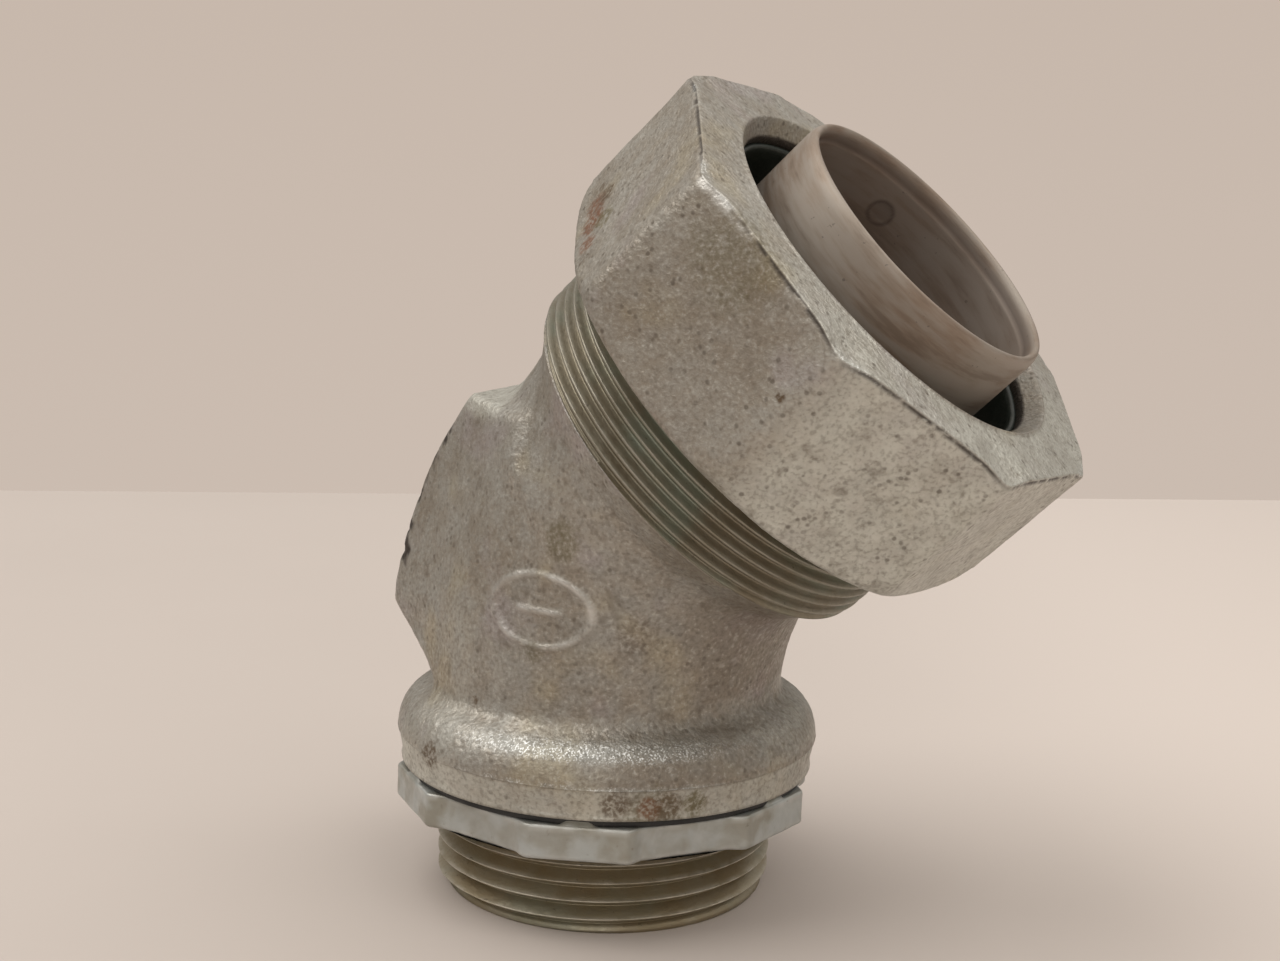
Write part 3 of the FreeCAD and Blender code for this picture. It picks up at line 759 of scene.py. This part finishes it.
def painted_light_share(points):
    """Painted light, up to 1, on the band, the lug's top and beside it and the flange's right, and painted
    shade, down to -1, on the neck's right and the shoulder's front.
    """
    x, y, z = points.T
    radius = np.hypot(x, y)
    band = (1 - step(z, FLANGE_WIDEST - 0.3, FLANGE_WIDEST + 0.3)) * step(radius, 25.0, 25.3)
    top = step(z - 0.17 * np.abs(x + 11.6), 41.5, 43.0) * step(-x, 7.0, 9.0) * step(radius, 8.0, 9.0)
    side = step(-y, 15.0, 19.0) * step(-x, 5.0, 9.5) * (1 - step(z, 18.0, 26.0))
    # painted shade on the neck's right side, under the nut
    dark = step(x, 13.0, 20.0) * step(z, 10.5, 13.0) * (1 - step(z, 22.0, 30.0))
    right = step(x, 17.0, 23.0) * step(z, 3.8, 4.5) * (1 - step(z, 8.0, 9.5))
    # painted shadow on the shoulder's front right, below its highlight
    facing = step(np.cos(np.arctan2(y, x) - math.radians(-42)), 0.86, 0.98)
    shade = facing * step(radius, 22.5, 24.5) * step(z, 3.6, 4.2) * (1 - step(z, 7.0, 8.2))
    return np.clip(0.6 * band + 0.75 * top + 0.32 * side + 0.35 * right - 0.5 * dark - 0.5 * shade, -1, 1)


def lug_outer(points):
    """Distance from the long edges of the lug's bulged outer face, where the mould's parting line runs."""
    x, y, z = points.T
    (cx, cz), bulge_r = LUG_ARC
    depth = bulge_r - np.hypot(x - cx, z - cz)
    low = LUG_TOE[1] + 1.5
    high = LUG_SHOULDER[1] + 1.0
    outside = np.maximum(low - z, 0) + np.maximum(z - high, 0)
    edge = np.abs(np.abs(y) - LUG_HALF_WIDTH) - 0.8
    return np.maximum(depth, 0) + outside + np.maximum(edge, 0) * 1.1 + 10 * (x > -8)


# ---- threads
def ridge_height(offset, pitch, depth):
    """How far a V thread stands below its crest, at an offset along the axis from the crest's middle."""
    crest = (pitch - 2 * depth * FLANK) / 4
    away = np.abs((offset + pitch / 2) % pitch - pitch / 2)
    return np.clip((away - crest) / FLANK, 0, depth)


def thread_stations(pitch, depth):
    """Places within one pitch where a V thread's outline turns, with small rounds at crest and root."""
    crest = (pitch - 2 * depth * FLANK) / 4
    root = pitch / 2 - crest
    half = [0.0, crest * 0.75, crest + 0.035, (crest + root) / 2, root - 0.035, (root + pitch / 2) / 2]
    return np.array(half + [pitch - value for value in half[:0:-1]]) / pitch


def dings(height, angle, radius, size, seed):
    """Depth of the small dents along a thread."""
    points = np.stack([height * 2, angle * radius, np.zeros(angle.shape)], -1).reshape(-1, 3)
    return CREST_DING * np.abs(lumps(points, size, seed)).reshape(height.shape)


def helical_skin(radius_at, pitch, phase, low, high, stations, columns):
    """Radius, height, angle and faces of a thread whose rows follow the helix, cut square at both ends."""
    first = math.floor((low - phase) / pitch) - 1
    last = math.ceil((high - phase) / pitch) + 1
    turns = np.arange(first, last)
    starts = (phase + pitch * (turns[:, None] + stations[None, :])).reshape(-1)
    angle = angles(columns)
    height = np.clip(starts[:, None] + pitch * angle[None, :] / FULL, low, high)
    angle = np.broadcast_to(angle, height.shape)
    offset = height - pitch * angle / FULL - phase
    radius = radius_at(offset, height, angle)
    return radius, height, angle, quads(len(starts), columns, shift=len(stations))


def threaded_piece(name, material, body, thread, wall_rows, placing, columns):
    """Closed threaded ring: a helical skin, and plain rows that go round its far side."""
    radius, height, angle, faces = thread
    origin, axis, across = placing
    skin = about(origin, axis, across, radius, height, angle).reshape(-1, 3)
    ends = [(radius[-1], height[-1])] + wall_rows + [(radius[0], height[0])]
    wall = ring_grid(ends, columns, origin, axis, across)[0].reshape(-1, 3)
    points = np.concatenate([skin, wall])
    joined = np.concatenate([faces, quads(len(ends), columns) + len(skin)])
    crest = np.zeros(len(points))
    crest[:len(skin)] = (radius.reshape(-1) - radius.min()) / (radius.max() - radius.min())
    return make_piece(name, points, joined, material, body, {"crest": crest})


def branch_thread(material):
    """The elbow's straight thread for the gland nut, with the ferrule's seat inside."""
    start = COLLAR_L - SUNK
    chamfer = 0.8
    edge = 0.2

    def radius_at(offset, height, angle):
        ridge = ridge_height(offset, GLAND_PITCH, GLAND_DEPTH)
        radius = GLAND_R - ridge - dings(height, angle, 25, 1.7, 31)
        radius = np.minimum(radius, COLLAR_R + (height - COLLAR_L))
        return np.minimum(radius, GLAND_R - chamfer + (GLAND_END - height))

    stations = thread_stations(GLAND_PITCH, GLAND_DEPTH)
    columns = 400
    thread = helical_skin(radius_at, GLAND_PITCH, COLLAR_L, start, GLAND_END, stations, columns)
    wall = [(SEAT_R + edge, GLAND_END), (SEAT_R, GLAND_END - edge), (SEAT_R, 33.0), (SEAT_R, SEAT_L)]
    wall += [(THROAT_R + edge, SEAT_L), (THROAT_R, SEAT_L - edge), (THROAT_R, 24.0), (THROAT_R, 15.0)]
    wall += [(21.0, 15.0), (23.8, start)]
    return threaded_piece("elbow_branch_thread", material, "elbow", thread, wall, ON_BRANCH, columns)


def hub_thread(material):
    """The elbow's tapered pipe thread below the flange."""
    top = 0.6
    chamfer = 1.1
    end_r = HUB_R + HUB_TAPER * HUB_END

    def radius_at(offset, height, angle):
        crest = HUB_R + HUB_TAPER * height
        radius = crest - ridge_height(offset, HUB_PITCH, HUB_DEPTH) - dings(height, angle, 22, 1.9, 33)
        return np.minimum(radius, end_r - chamfer + (height - HUB_END))

    stations = thread_stations(HUB_PITCH, HUB_DEPTH)
    columns = 400
    thread = helical_skin(radius_at, HUB_PITCH, 0.0, HUB_END, top, stations, columns)
    wall = [(THROAT_R, top), (THROAT_R, -5.0), (THROAT_R, -10.0)]
    wall += [(THROAT_R, HUB_END + THROAT_LIP), (THROAT_R + THROAT_LIP, HUB_END)]
    return threaded_piece("elbow_hub_thread", material, "elbow", thread, wall, ON_HUB, columns)


def inner_thread(name, material, body, sizes, placing, columns):
    """Threaded lining of a nut: ridges half a pitch away from the rod's, with the frame's own slack."""
    crest_r, depth, pitch, phase, low, high, outer_r = sizes
    tip_half = (pitch - 2 * depth * FLANK) / 4 + TIP_SLACK * FLANK - FLANK_SLACK
    root_r = crest_r + THREAD_SLACK

    def radius_at(offset, height, angle):
        away = np.abs((offset + pitch / 2) % pitch - pitch / 2)
        tip = crest_r - depth + TIP_SLACK + np.clip(away - tip_half, 0, None) / FLANK
        lead = root_r - np.minimum(height - low, high - height)
        return np.minimum(np.maximum(tip, lead), root_r)

    foot = tip_half + (THREAD_SLACK - TIP_SLACK + depth) * FLANK
    half = [0.0, tip_half, (tip_half + foot) / 2, min(foot, pitch / 2 - 0.01)]
    stations = np.array(half + [pitch / 2] + [pitch - value for value in half[:0:-1]]) / pitch
    thread = helical_skin(radius_at, pitch, phase + pitch / 2, low, high, stations, columns)
    wall = [(outer_r, high), (outer_r, (low + high) / 2), (outer_r, low)]
    return threaded_piece(name, material, body, thread, wall, placing, columns)


# ---- gland nut
def octagon_radius(angle, apothem, softness):
    """Radius of an octagon with rounded corners, its flats facing every 45 degrees from zero."""
    eighth = FULL / 8
    off = np.abs((angle + eighth / 2) % eighth - eighth / 2)
    return smooth_min(apothem / np.cos(off), apothem / np.cos(eighth - off), softness)


def facet_painted_light(angle):
    """Painted light and shade on the nut's eight flats, blended across the corners."""
    count = len(NUT_FACET_PAINTED_LIGHT)
    turn = (angle - NUT_TURN) % FULL / FULL * count
    places = [facet + share for facet in range(-1, count + 1) for share in (0.2, 0.8)]
    tones = [NUT_FACET_PAINTED_LIGHT[facet % count] for facet in range(-1, count + 1) for share in (0.2, 0.8)]
    return np.interp(turn, places, tones)


def front_painted_light(angle):
    """Painted light on the nut's front face, paler on its lower side."""
    return 0.15 + 0.6 * step(np.cos(angle - math.radians(-20)), -0.2, 0.9)


def gland_nut(material):
    """Octagonal nut with a domed back, flats worn at their edges, and a flared mouth."""
    columns = 680
    angle = angles(columns)
    sharp = octagon_radius(angle - NUT_TURN - FULL / 16, NUT_APOTHEM, 0.9)
    ring_slope = (RING_FRONT_R - RING_BACK_R) / (RING_FRONT - RING_BACK)
    dome_top = NUT_BACK + NUT_DOME
    rows = [(radius, NUT_BACK) for radius in between(NUT_BORE_R, NUT_BACK_R, 3)]
    flare = NUT_CORNER_R - NUT_BACK_R
    for turn in between(0, math.pi / 2, 18):
        dome_r = NUT_BACK_R + flare * math.sin(turn)
        rows.append((smooth_min(dome_r, sharp, 0.8), dome_top - NUT_DOME * math.cos(turn)))
    face_at = NUT_FRONT - NUT_FACE_DROP * (sharp - NUT_MOUTH_R) / (NUT_CORNER_R - NUT_MOUTH_R)
    face_at = face_at - 0.55 * step(sharp, NUT_APOTHEM + 0.9, NUT_CORNER_R)     # corners are worn down
    for share in between(0, 1, 54):
        rows.append((sharp, dome_top + share * (face_at - NUT_EDGE - dome_top)))
    for turn in np.linspace(0, math.pi / 2, 6):
        rows.append((sharp - NUT_EDGE * (1 - math.cos(turn)), face_at - NUT_EDGE * (1 - math.sin(turn))))
    rim = sharp - NUT_EDGE
    for share in np.linspace(0, 1, 23)[1:]:
        rows.append((rim + share * (NUT_MOUTH_R + 0.15 - rim), face_at + share * (NUT_FRONT - face_at)))
    skin_rows = len(rows)
    for share in np.linspace(0.06, 1, 7):
        flared = NUT_MOUTH_R + share * (NUT_LIP_R - NUT_MOUTH_R)
        rows.append((flared, NUT_FRONT + share * (NUT_LIP_L - NUT_FRONT)))
    rows.append((NUT_LIP_R, RING_FRONT + RING_GAP))
    for share in np.linspace(0.2, 1, 5):
        length = RING_FRONT + share * (NUT_THREAD_END - RING_FRONT)
        rows.append((RING_BACK_R + RING_GAP + ring_slope * (length - RING_BACK), length))
    rows += [(NUT_BORE_R, length) for length in (NUT_THREAD_END, 33.0, 29.0)]
    grid, radius, height, turned = ring_grid(rows, columns, ELBOW, ALONG, ACROSS)
    flat = grid.reshape(-1, 3)
    radius, height = radius.reshape(-1), height.reshape(-1)
    turned = turned.reshape(-1)
    sharp = np.tile(sharp, len(rows))
    face_at = np.tile(face_at, len(rows))
    outer = np.zeros(grid.shape[:2])
    outer[2:skin_rows - 1] = 1
    outer = outer.reshape(-1)
    sand = 0.5 * lumps(flat, 0.8, 43) + 0.35 * lumps(flat, 1.5, 45) + 0.3 * lumps(flat, 0.45, 44)
    pit = pits(flat, 1.5, 47, 0.20, 0.34)
    waves = lumps(flat, 7.0, 49)
    front_gap = np.abs(height - (face_at - 0.3)) + 2.0 * (sharp - radius)
    near_edge = 1 - step(front_gap, 0.15, 0.65)
    chips = near_edge * step(lumps(flat, 1.3, 51) + 0.8 * lumps(flat, 0.6, 52), -0.9, 0.0)
    drop = outer * (0.05 * sand + 0.08 * waves - 0.15 * pit - 0.15) - outer * 0.14 * chips
    drop = np.minimum(drop, 0)
    normal = grid_normals(grid).reshape(-1, 3)
    middle = slice(40 * columns, 41 * columns)      # a row on the flats, to tell outwards from inwards
    outward = from_axis(flat[middle], ELBOW, ALONG)
    normal *= np.sign((normal[middle] * outward).sum())
    moved = flat + normal * drop[:, None]
    corner = step(radius, NUT_APOTHEM + 1.3, NUT_CORNER_R - 0.4)
    on_face = step(height, NUT_FRONT - 1.4, NUT_FRONT - 0.7)
    rubbed_turn = step(np.cos(turned - NUT_TURN - RUBBED_TURN), math.cos(0.24), math.cos(0.08))
    rubbed = rubbed_turn * (1 - step(front_gap, 0.4, 1.3))
    near_front = step(height, NUT_FRONT - 5.0, NUT_FRONT - 1.0)
    on_front = step(height - face_at + 2 * (sharp - radius), -0.3, 0.3)
    broken = step(lumps(flat, 1.1, 55), -0.4, 0.4)
    # painted shadow on the nut's mouth wall, in the gap before the seal
    mouth_painted_shadow = (height < NUT_LIP_L + 0.05) * (height > RING_FRONT) * (radius < NUT_MOUTH_R)
    marks = {
        # painted shade in pits and painted highlight on grain bumps
        "painted_relief_shading": (sand - 1.3 * pit) * outer,
        # chips along the front edge, and painted shadow in the mouth
        "scar_and_painted_shade": 0.9 * chips * (1 - 0.5 * corner) * (1 - 0.7 * rubbed) * outer + 0.9 * mouth_painted_shadow,
        "worn": np.maximum(0.15 * corner * near_front, rubbed) * broken * outer,
        # painted glints near the corners of the nut's front face
        "painted_glint": 0.8 * step(radius, 29.8, 31.4) * on_face * step(lumps(flat, 3.0, 57), -0.4, 0.4) * outer,
        # painted light and shade on the nut's flats and front face
        "painted_light_and_shade": (facet_painted_light(turned) * (1 - on_front) + front_painted_light(turned) * on_front) * outer,
    }
    return make_loop("octagon_gland_nut", moved, columns, material, "nut", marks)


# ---- ferrule
def ferrule(material):
    """Turned ferrule: tube with a curled rim, a step inside the rim, a web and a short skirt."""
    columns = 400
    bore_r, front = FERRULE_BORE_R, FERRULE_FRONT
    curl = front - RIM_CURL
    rim_r = TUBE_R - RIM_INSET
    web_top = FERRULE_BACK + WEB
    skirt_in = SKIRT_R - SKIRT_WALL
    corners = [(bore_r + 0.1, FERRULE_BACK), (SKIRT_R, FERRULE_BACK + 0.1), (SKIRT_R, SKIRT_TOP)]
    corners += [(skirt_in, SKIRT_TOP), (skirt_in, web_top + 0.4), (skirt_in - 0.4, web_top)]
    corners += [(TUBE_R + 0.4, web_top), (TUBE_R, web_top + 0.4)]
    corners += [(TUBE_R, length) for length in between(web_top + 1.5, curl, 30)]
    for turn in np.radians(np.linspace(0, 78, 9)):
        corners.append((rim_r + RIM_INSET * math.cos(turn), curl + (RIM_CURL - 0.06) * math.sin(turn)))
    corners += [(rim_r - 0.05, front - 0.02), (rim_r - 0.3, front - 0.08)]
    corners += [(rim_r - 0.5, front - 0.35), (rim_r - 0.52, front - 1.2)]
    corners += [(bore_r + 0.14, front - 1.75), (bore_r + 0.12, front - 2.0), (bore_r + 0.02, front - 2.3)]
    corners += [(bore_r, length) for length in between(front - 2.5, front - 10.5, 34)]
    corners += [(bore_r, length) for length in between(front - 11, FERRULE_BACK, 12)]
    grid, radius, height, angle = ring_grid(corners, columns, ELBOW, ALONG, ACROSS)
    radius, height, angle = radius.reshape(-1), height.reshape(-1), angle.reshape(-1)
    flat = grid.reshape(-1, 3)
    away = np.hypot((angle - DIMPLE_TURN) * bore_r, height - DIMPLE_L)
    inside = (radius < bore_r + 0.1) & (height > FERRULE_BACK + 0.5)
    dish = np.where(inside, 0.06 * (1 - step(away, 0.9, DIMPLE_R)), 0)
    wobble = 0.025 * lumps(flat, 8.0, 61) * step(height, 40, 44)
    change = dish + np.minimum(wobble - 0.025, 0) * ~inside
    moved = flat + from_axis(flat, ELBOW, ALONG) * change[:, None]
    ring = np.where(inside, np.clip(1 - np.abs(away - DIMPLE_R) / 0.4, 0.35 * (away < DIMPLE_R), 1), 0)
    groove = (np.abs(height - (front - 1.85)) < 0.4) & (radius < bore_r + 0.35)
    marks = {
        # painted shade inside the tube, from just behind the rim
        "inside": (radius < rim_r - 0.3) * step(front - height, 0.4, 1.2),
        # dark ring round the dimple, and painted shade in the groove inside the rim
        "scar_and_painted_shade": np.clip(0.75 * ring + 0.35 * groove, 0, 1),
    }
    return make_loop("ferrule_tube", moved, columns, material, "ferrule", marks)


# ---- sealing ring, gasket, locknut
def plain_ring(name, material, body, corners, placing, columns, ripple):
    """A soft ring turned from its outline, with a slight ripple."""
    flat = ring_grid(corners, columns, *placing)[0].reshape(-1, 3)
    moved = flat + from_axis(flat, *placing[:2]) * (ripple * (lumps(flat, 5.0, 71) - 1))[:, None]
    return make_loop(name, moved, columns, material, body)


def sealing_ring(material):
    """Tapered ring in the nut's mouth, its edges slightly broken."""
    back, front = RING_BACK, RING_FRONT
    corners = segments([
        (RING_BORE_R + 0.3, back), (RING_BACK_R - 0.4, back), (RING_BACK_R, back + 0.3),
        (RING_FRONT_R + 0.1, front - 0.3), (RING_FRONT_R - 0.2, front), (RING_BORE_R + 0.25, front),
        (RING_BORE_R + 0.03, front - 0.3), (RING_BORE_R + 0.03, back + 0.3),
    ], 0.8)
    return plain_ring("sealing_ring_taper", material, "seal", corners, ON_BRANCH, 200, 0.01)


def gasket(material):
    """Flat rubber ring with a rounded outer edge."""
    low, top = GASKET_LOW, GASKET_TOP
    middle = (low + top) / 2
    edge_r = GASKET_R - 0.15
    corners = [(GASKET_BORE_R, low), (edge_r, low)]
    corners += [(edge_r + 0.15 * math.sin(t), middle - 0.4 * math.cos(t)) for t in (0.6, 1.2, 1.9, 2.5)]
    corners += [(edge_r, top), (GASKET_BORE_R, top)]
    return plain_ring("flange_gasket", material, "gasket", corners, ON_HUB, 240, 0.03)


def locknut_radius(angle):
    """Plan radius of the locknut: straight sides between six wide lugs and six notches."""
    corners = []
    sector = FULL / LOCK_LUGS
    for lug in range(-1, LOCK_LUGS + 1):
        for shift, corner_r in ((0, LOCK_R - 0.05), (sector / 2, LOCK_NOTCH_R)):
            centre = LOCK_FIRST + sector * lug + shift
            corners += [(centre - LOCK_HALF, corner_r), (centre + LOCK_HALF, corner_r)]
    radius = np.zeros(len(angle))
    for (a, ra), (b, rb) in zip(corners, corners[1:]):
        inside = (angle >= a) & (angle < b)
        ax, ay, bx, by = ra * math.cos(a), ra * math.sin(a), rb * math.cos(b), rb * math.sin(b)
        cross = ax * by - ay * bx
        side = (by - ay) * np.cos(angle) - (bx - ax) * np.sin(angle)
        radius = np.where(inside, cross / np.where(inside, side, 1), radius)
    return radius


def locknut(material):
    """Six-lugged locknut with softened edges and a low tooth on each lug."""
    columns = 480
    angle = angles(columns)
    plan = locknut_radius(angle)
    plan = sum(np.roll(plan, k) for k in range(-2, 3)) / 5
    bore = HUB_R + 0.45
    low, top = LOCK_LOW, LOCK_TOP
    sector = FULL / LOCK_LUGS
    from_lug = np.abs((angle - LOCK_FIRST + sector / 2) % sector - sector / 2)
    tooth = (TOOTH_TOP - top - 0.02) * (1 - step(from_lug, *TOOTH_HALF))
    rows = [(bore, low), (bore + 0.8, low), (23.0, low), (np.minimum(plan, 24.4), low)]
    for turn in np.linspace(0, math.pi / 2, 6):
        rows.append((plan - LOCK_EDGE * (1 - math.sin(turn)), low + LOCK_EDGE * (1 - math.cos(turn))))
    width, drop = LOCK_TOP_EDGE
    side = top - low - LOCK_EDGE - drop
    rows += [(plan, low + LOCK_EDGE + share * side) for share in np.linspace(0.08, 1, 12)]
    for turn in np.linspace(0.2, math.pi / 2, 5):
        rows.append((plan - width * (1 - math.cos(turn)), top - drop * (1 - math.sin(turn))))
    rows.append((np.minimum(plan - 0.42, LOCK_R - 0.45), top + tooth))
    rows.append((np.minimum(plan - 0.8, 25.25), top + tooth))
    rows += [(np.minimum(plan - 1.1, 24.92), top), (23.4, top), (bore, top)]
    grid, radius, height, _ = ring_grid(rows, columns, *ON_HUB)
    radius, height = radius.reshape(-1), height.reshape(-1)
    flat = grid.reshape(-1, 3)
    dents = (radius > 24.0) * (0.05 * lumps(flat, 3.0, 81) + 0.03 * lumps(flat, 1.0, 82) - 0.09)
    moved = flat + from_axis(flat, ORIGIN, UP) * dents[:, None]
    near_edge = 1 - step(np.minimum(height - low, np.abs(top - height)), 0.3, 0.9)
    worn = near_edge * (radius > 24.2) * step(lumps(flat, 1.5, 83), -0.5, 0.5)
    return make_loop("six_lug_locknut", moved, columns, material, "locknut", {"worn": worn})


# ---- the object
RUST = (0.21, 0.10, 0.055)
BROWN = (0.12, 0.08, 0.045)
OLIVE = (0.15, 0.125, 0.06)
casting_stains = [
    ((16.3, -19.8, 0.6), 4.2, OLIVE, 0.55),
    ((12.9, -22.3, 1.9), 2.2, BROWN, 0.75),
    ((16.2, -20.1, 1.5), 1.9, RUST, 0.75),
    ((17.8, -18.6, 1.7), 2.2, BROWN, 0.7),
    ((20.0, -16.2, 1.7), 2.0, OLIVE, 0.8),
    ((-11.2, -23.5, 3.9), 2.2, BROWN, 0.8),
    ((-7.2, -19.9, 10.3), 0.7, BROWN, 0.8),
    ((4.5, -20.7, 31.0), 3.2, OLIVE, 0.55),
    ((12.4, -17.2, 20.4), 3.4, BROWN, 0.35),
    ((1.2, -21.0, 17.6), 1.6, OLIVE, 0.45),
    ((24.3, -3.1, 5.8), 1.0, BROWN, 0.85),
]
nut_stains = [
    ((4.8, -17.2, 66.4), 2.6, RUST, 0.95),
    ((4.1, -14.6, 68.0), 2.4, RUST, 0.85),
    ((5.8, -20.2, 64.1), 1.8, RUST, 0.8),
    ((5.6, -14.4, 69.3), 1.9, BROWN, 0.85),
    ((3.9, -12.0, 69.6), 1.6, BROWN, 0.7),
    ((6.8, -18.4, 66.9), 2.2, OLIVE, 0.7),
    ((6.6, -22.3, 62.8), 1.4, BROWN, 0.6),
    ((27.6, -29.6, 64.0), 7.0, OLIVE, 0.40),
    ((33.8, -30.6, 50.8), 0.7, BROWN, 0.95),
]
casting_zinc = zinc_casting("zinc_casting", casting_stains, 0.45, 0.80)
nut_zinc = zinc_casting("zinc_nut", nut_stains, 0.60, 0.86)
gland_grooves = ((0.22, 0.19, 0.135), (0.26, 0.235, 0.18))
hub_grooves = ((0.30, 0.245, 0.155), (0.34, 0.30, 0.22))
gland_threads = thread_zinc("gland_thread_zinc", gland_grooves, 0.45, (0.29, 0.27, 0.22))
hub_threads = thread_zinc("hub_thread_zinc", hub_grooves, 0.25, (0.58, 0.54, 0.46))
steel = ferrule_steel()
lock_zinc = locknut_zinc()
seal_plastic = dark_rubber("seal_plastic", (0.012, 0.018, 0.014), (0.02, 0.028, 0.022), 0.35, 0.5)
gasket_rubber = dark_rubber("gasket_rubber", (0.012, 0.012, 0.012), (0.02, 0.02, 0.02), 0.45, 0.65)


def stands_for(cad_node, slot, *pieces):
    """Hides the CAD node that the pieces replace. The slot and the pieces are not used."""
    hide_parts(cad_node)


casting = elbow_casting(casting_zinc)
stands_for("body", "zinc_plated_casting", casting, branch_thread(gland_threads), hub_thread(hub_threads))

nut = gland_nut(nut_zinc)
nut_ends = (NUT_BACK + 0.05, NUT_THREAD_END - 0.05)
nut_sizes = (GLAND_R, GLAND_DEPTH, GLAND_PITCH, COLLAR_L, *nut_ends, GLAND_R + 0.6)
nut_lining = inner_thread("gland_nut_thread", gland_threads, "nut", nut_sizes, ON_BRANCH, 220)
stands_for("gland_nut", "zinc_plated_nut", nut, nut_lining)

stands_for("ferrule", "ferrule_steel", ferrule(steel))
stands_for("sealing_ring", "sealing_ring_plastic", sealing_ring(seal_plastic))
stands_for("face_gasket", "gasket_rubber", gasket(gasket_rubber))

lock = locknut(lock_zinc)
lock_ends = (LOCK_LOW + 0.05, LOCK_TOP - 0.05)
lock_sizes = (HUB_R, HUB_DEPTH, HUB_PITCH, 0.0, *lock_ends, HUB_R + 0.55)
lock_lining = inner_thread("locknut_thread", lock_zinc, "locknut", lock_sizes, ON_HUB, 200)
stands_for("locknut", "locknut_zinc", lock, lock_lining)


# ---- floor, light and camera
TABLE_SHADE = (0.57, 0.51, 0.47)
MIDDLE_M = (0.01, 0.0, 0.035)
CAMERA_TURNS = (25.85, 8.51, 2.23)      # azimuth, elevation and roll in degrees
CAMERA_DISTANCE = 0.23245
CAMERA_AIM = (0.00616, 0.04075)         # metres to the right and up
CAMERA_LENS = 53.61
CAMERA_SHIFT = (-0.0222, -0.0391)


def table_material():
    """Matt warm table top, with painted light making it a little lighter towards the camera's right."""
    material, tree = new_material("pale_floor")
    shade, cloudy, light = (tuple(value * share for value in TABLE_SHADE) for share in (1, 0.97, 1.16))
    cloud = fit(tree, noise(tree, 120, 3, 0.5), 0.3, 0.7)
    right = node(tree, "VectorMath", {0: place(tree), 1: (0.9, 0.436, 0.0)}, operation="DOT_PRODUCT")
    base = colour(tree, cloud, shade, cloudy)
    # painted light that lifts the table towards the camera's right
    base = colour(tree, fit(tree, right.outputs["Value"], 0.0, 0.11), base, light)
    look = {"Base Color": base, "Roughness": 0.75, "Specular IOR Level": 0.2}
    surface = node(tree, "BsdfPrincipled", look)
    out = node(tree, "OutputMaterial")
    tree.links.new(surface.outputs["BSDF"], out.inputs["Surface"])
    return material


def floor():
    """Pale table top whose far edge lies a little behind the object."""
    far, near, half = 0.257, 1.3, 1.6
    corners = [(-half, -near), (half, -near), (half, far), (-half, far)]
    turn = Matrix.Rotation(math.radians(35.6), 3, "Z")
    level = Vector((0, 0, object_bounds()[0].z))
    mesh = bpy.data.meshes.new("floor")
    mesh.from_pydata([turn @ Vector((x, y, 0)) + level for x, y in corners], [], [(0, 1, 2, 3)])
    mesh.materials.append(table_material())
    made = bpy.data.objects.new("floor", mesh)
    bpy.context.scene.collection.objects.link(made)
    made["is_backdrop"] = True


def backdrop():
    """Pale surroundings: an even warm tone for the camera, and a brighter top than sides for the object."""
    world = bpy.data.worlds.new("studio")
    bpy.context.scene.world = world
    world.use_nodes = True
    tree = world.node_tree
    tree.nodes.clear()
    direction = node(tree, "TexCoord").outputs["Generated"]
    upward = node(tree, "SeparateXYZ", {0: direction}).outputs["Z"]
    sky = colour(tree, fit(tree, upward, -0.2, 0.9), (0.34, 0.30, 0.26), (1.10, 1.04, 0.97))
    seen = colour(tree, fit(tree, upward, -0.3, 0.3), (0.97, 0.82, 0.71), (0.90, 0.75, 0.64))
    shown = colour(tree, node(tree, "LightPath").outputs["Is Camera Ray"], sky, seen)
    back = node(tree, "Background", {"Color": shown, "Strength": 0.62})
    out = node(tree, "OutputWorld")
    tree.links.new(back.outputs["Background"], out.inputs["Surface"])


def soft_light(name, place_m, size, power, tint):
    """A square soft light that faces the object's middle."""
    data = bpy.data.lights.new(name, "AREA")
    data.shape = "SQUARE"
    data.size = size
    data.energy = power
    data.color = tint
    lamp = bpy.data.objects.new(name, data)
    lamp.location = place_m
    lamp.rotation_mode = "QUATERNION"
    lamp.rotation_quaternion = (Vector(MIDDLE_M) - Vector(place_m)).to_track_quat("-Z", "Y")
    bpy.context.scene.collection.objects.link(lamp)


def camera():
    """Camera at the height and turn from which the object is seen."""
    azimuth, elevation, roll = map(math.radians, CAMERA_TURNS)
    right = Vector((math.cos(azimuth), math.sin(azimuth), 0))
    level_back = Vector((math.sin(azimuth), -math.cos(azimuth), 0))
    back = level_back * math.cos(elevation) + Vector((0, 0, math.sin(elevation)))
    up = back.cross(right)
    rolled_right = right * math.cos(roll) + up * math.sin(roll)
    rolled_up = up * math.cos(roll) - right * math.sin(roll)
    data = bpy.data.cameras.new("camera")
    data.sensor_width = 36
    data.lens = CAMERA_LENS
    data.shift_x, data.shift_y = CAMERA_SHIFT
    data.clip_start = 0.01
    made = bpy.data.objects.new("camera", data)
    spot = right * CAMERA_AIM[0] + Vector((0, 0, CAMERA_AIM[1])) + back * CAMERA_DISTANCE
    turned = Matrix((rolled_right, rolled_up, back)).transposed().to_4x4()
    made.matrix_world = Matrix.Translation(spot) @ turned
    bpy.context.scene.collection.objects.link(made)
    bpy.context.scene.camera = made


bpy.context.scene.view_settings.view_transform = "Standard"
floor()
backdrop()
soft_light("key", (-0.38, -0.25, 0.76), 0.8, 4.3, (1.0, 0.97, 0.93))
soft_light("front", (0.30, -0.85, 0.35), 0.5, 1.0, (1.0, 0.96, 0.91))
soft_light("top", (0.42, 0.16, 0.80), 0.8, 2.6, (1.0, 0.97, 0.93))
camera()
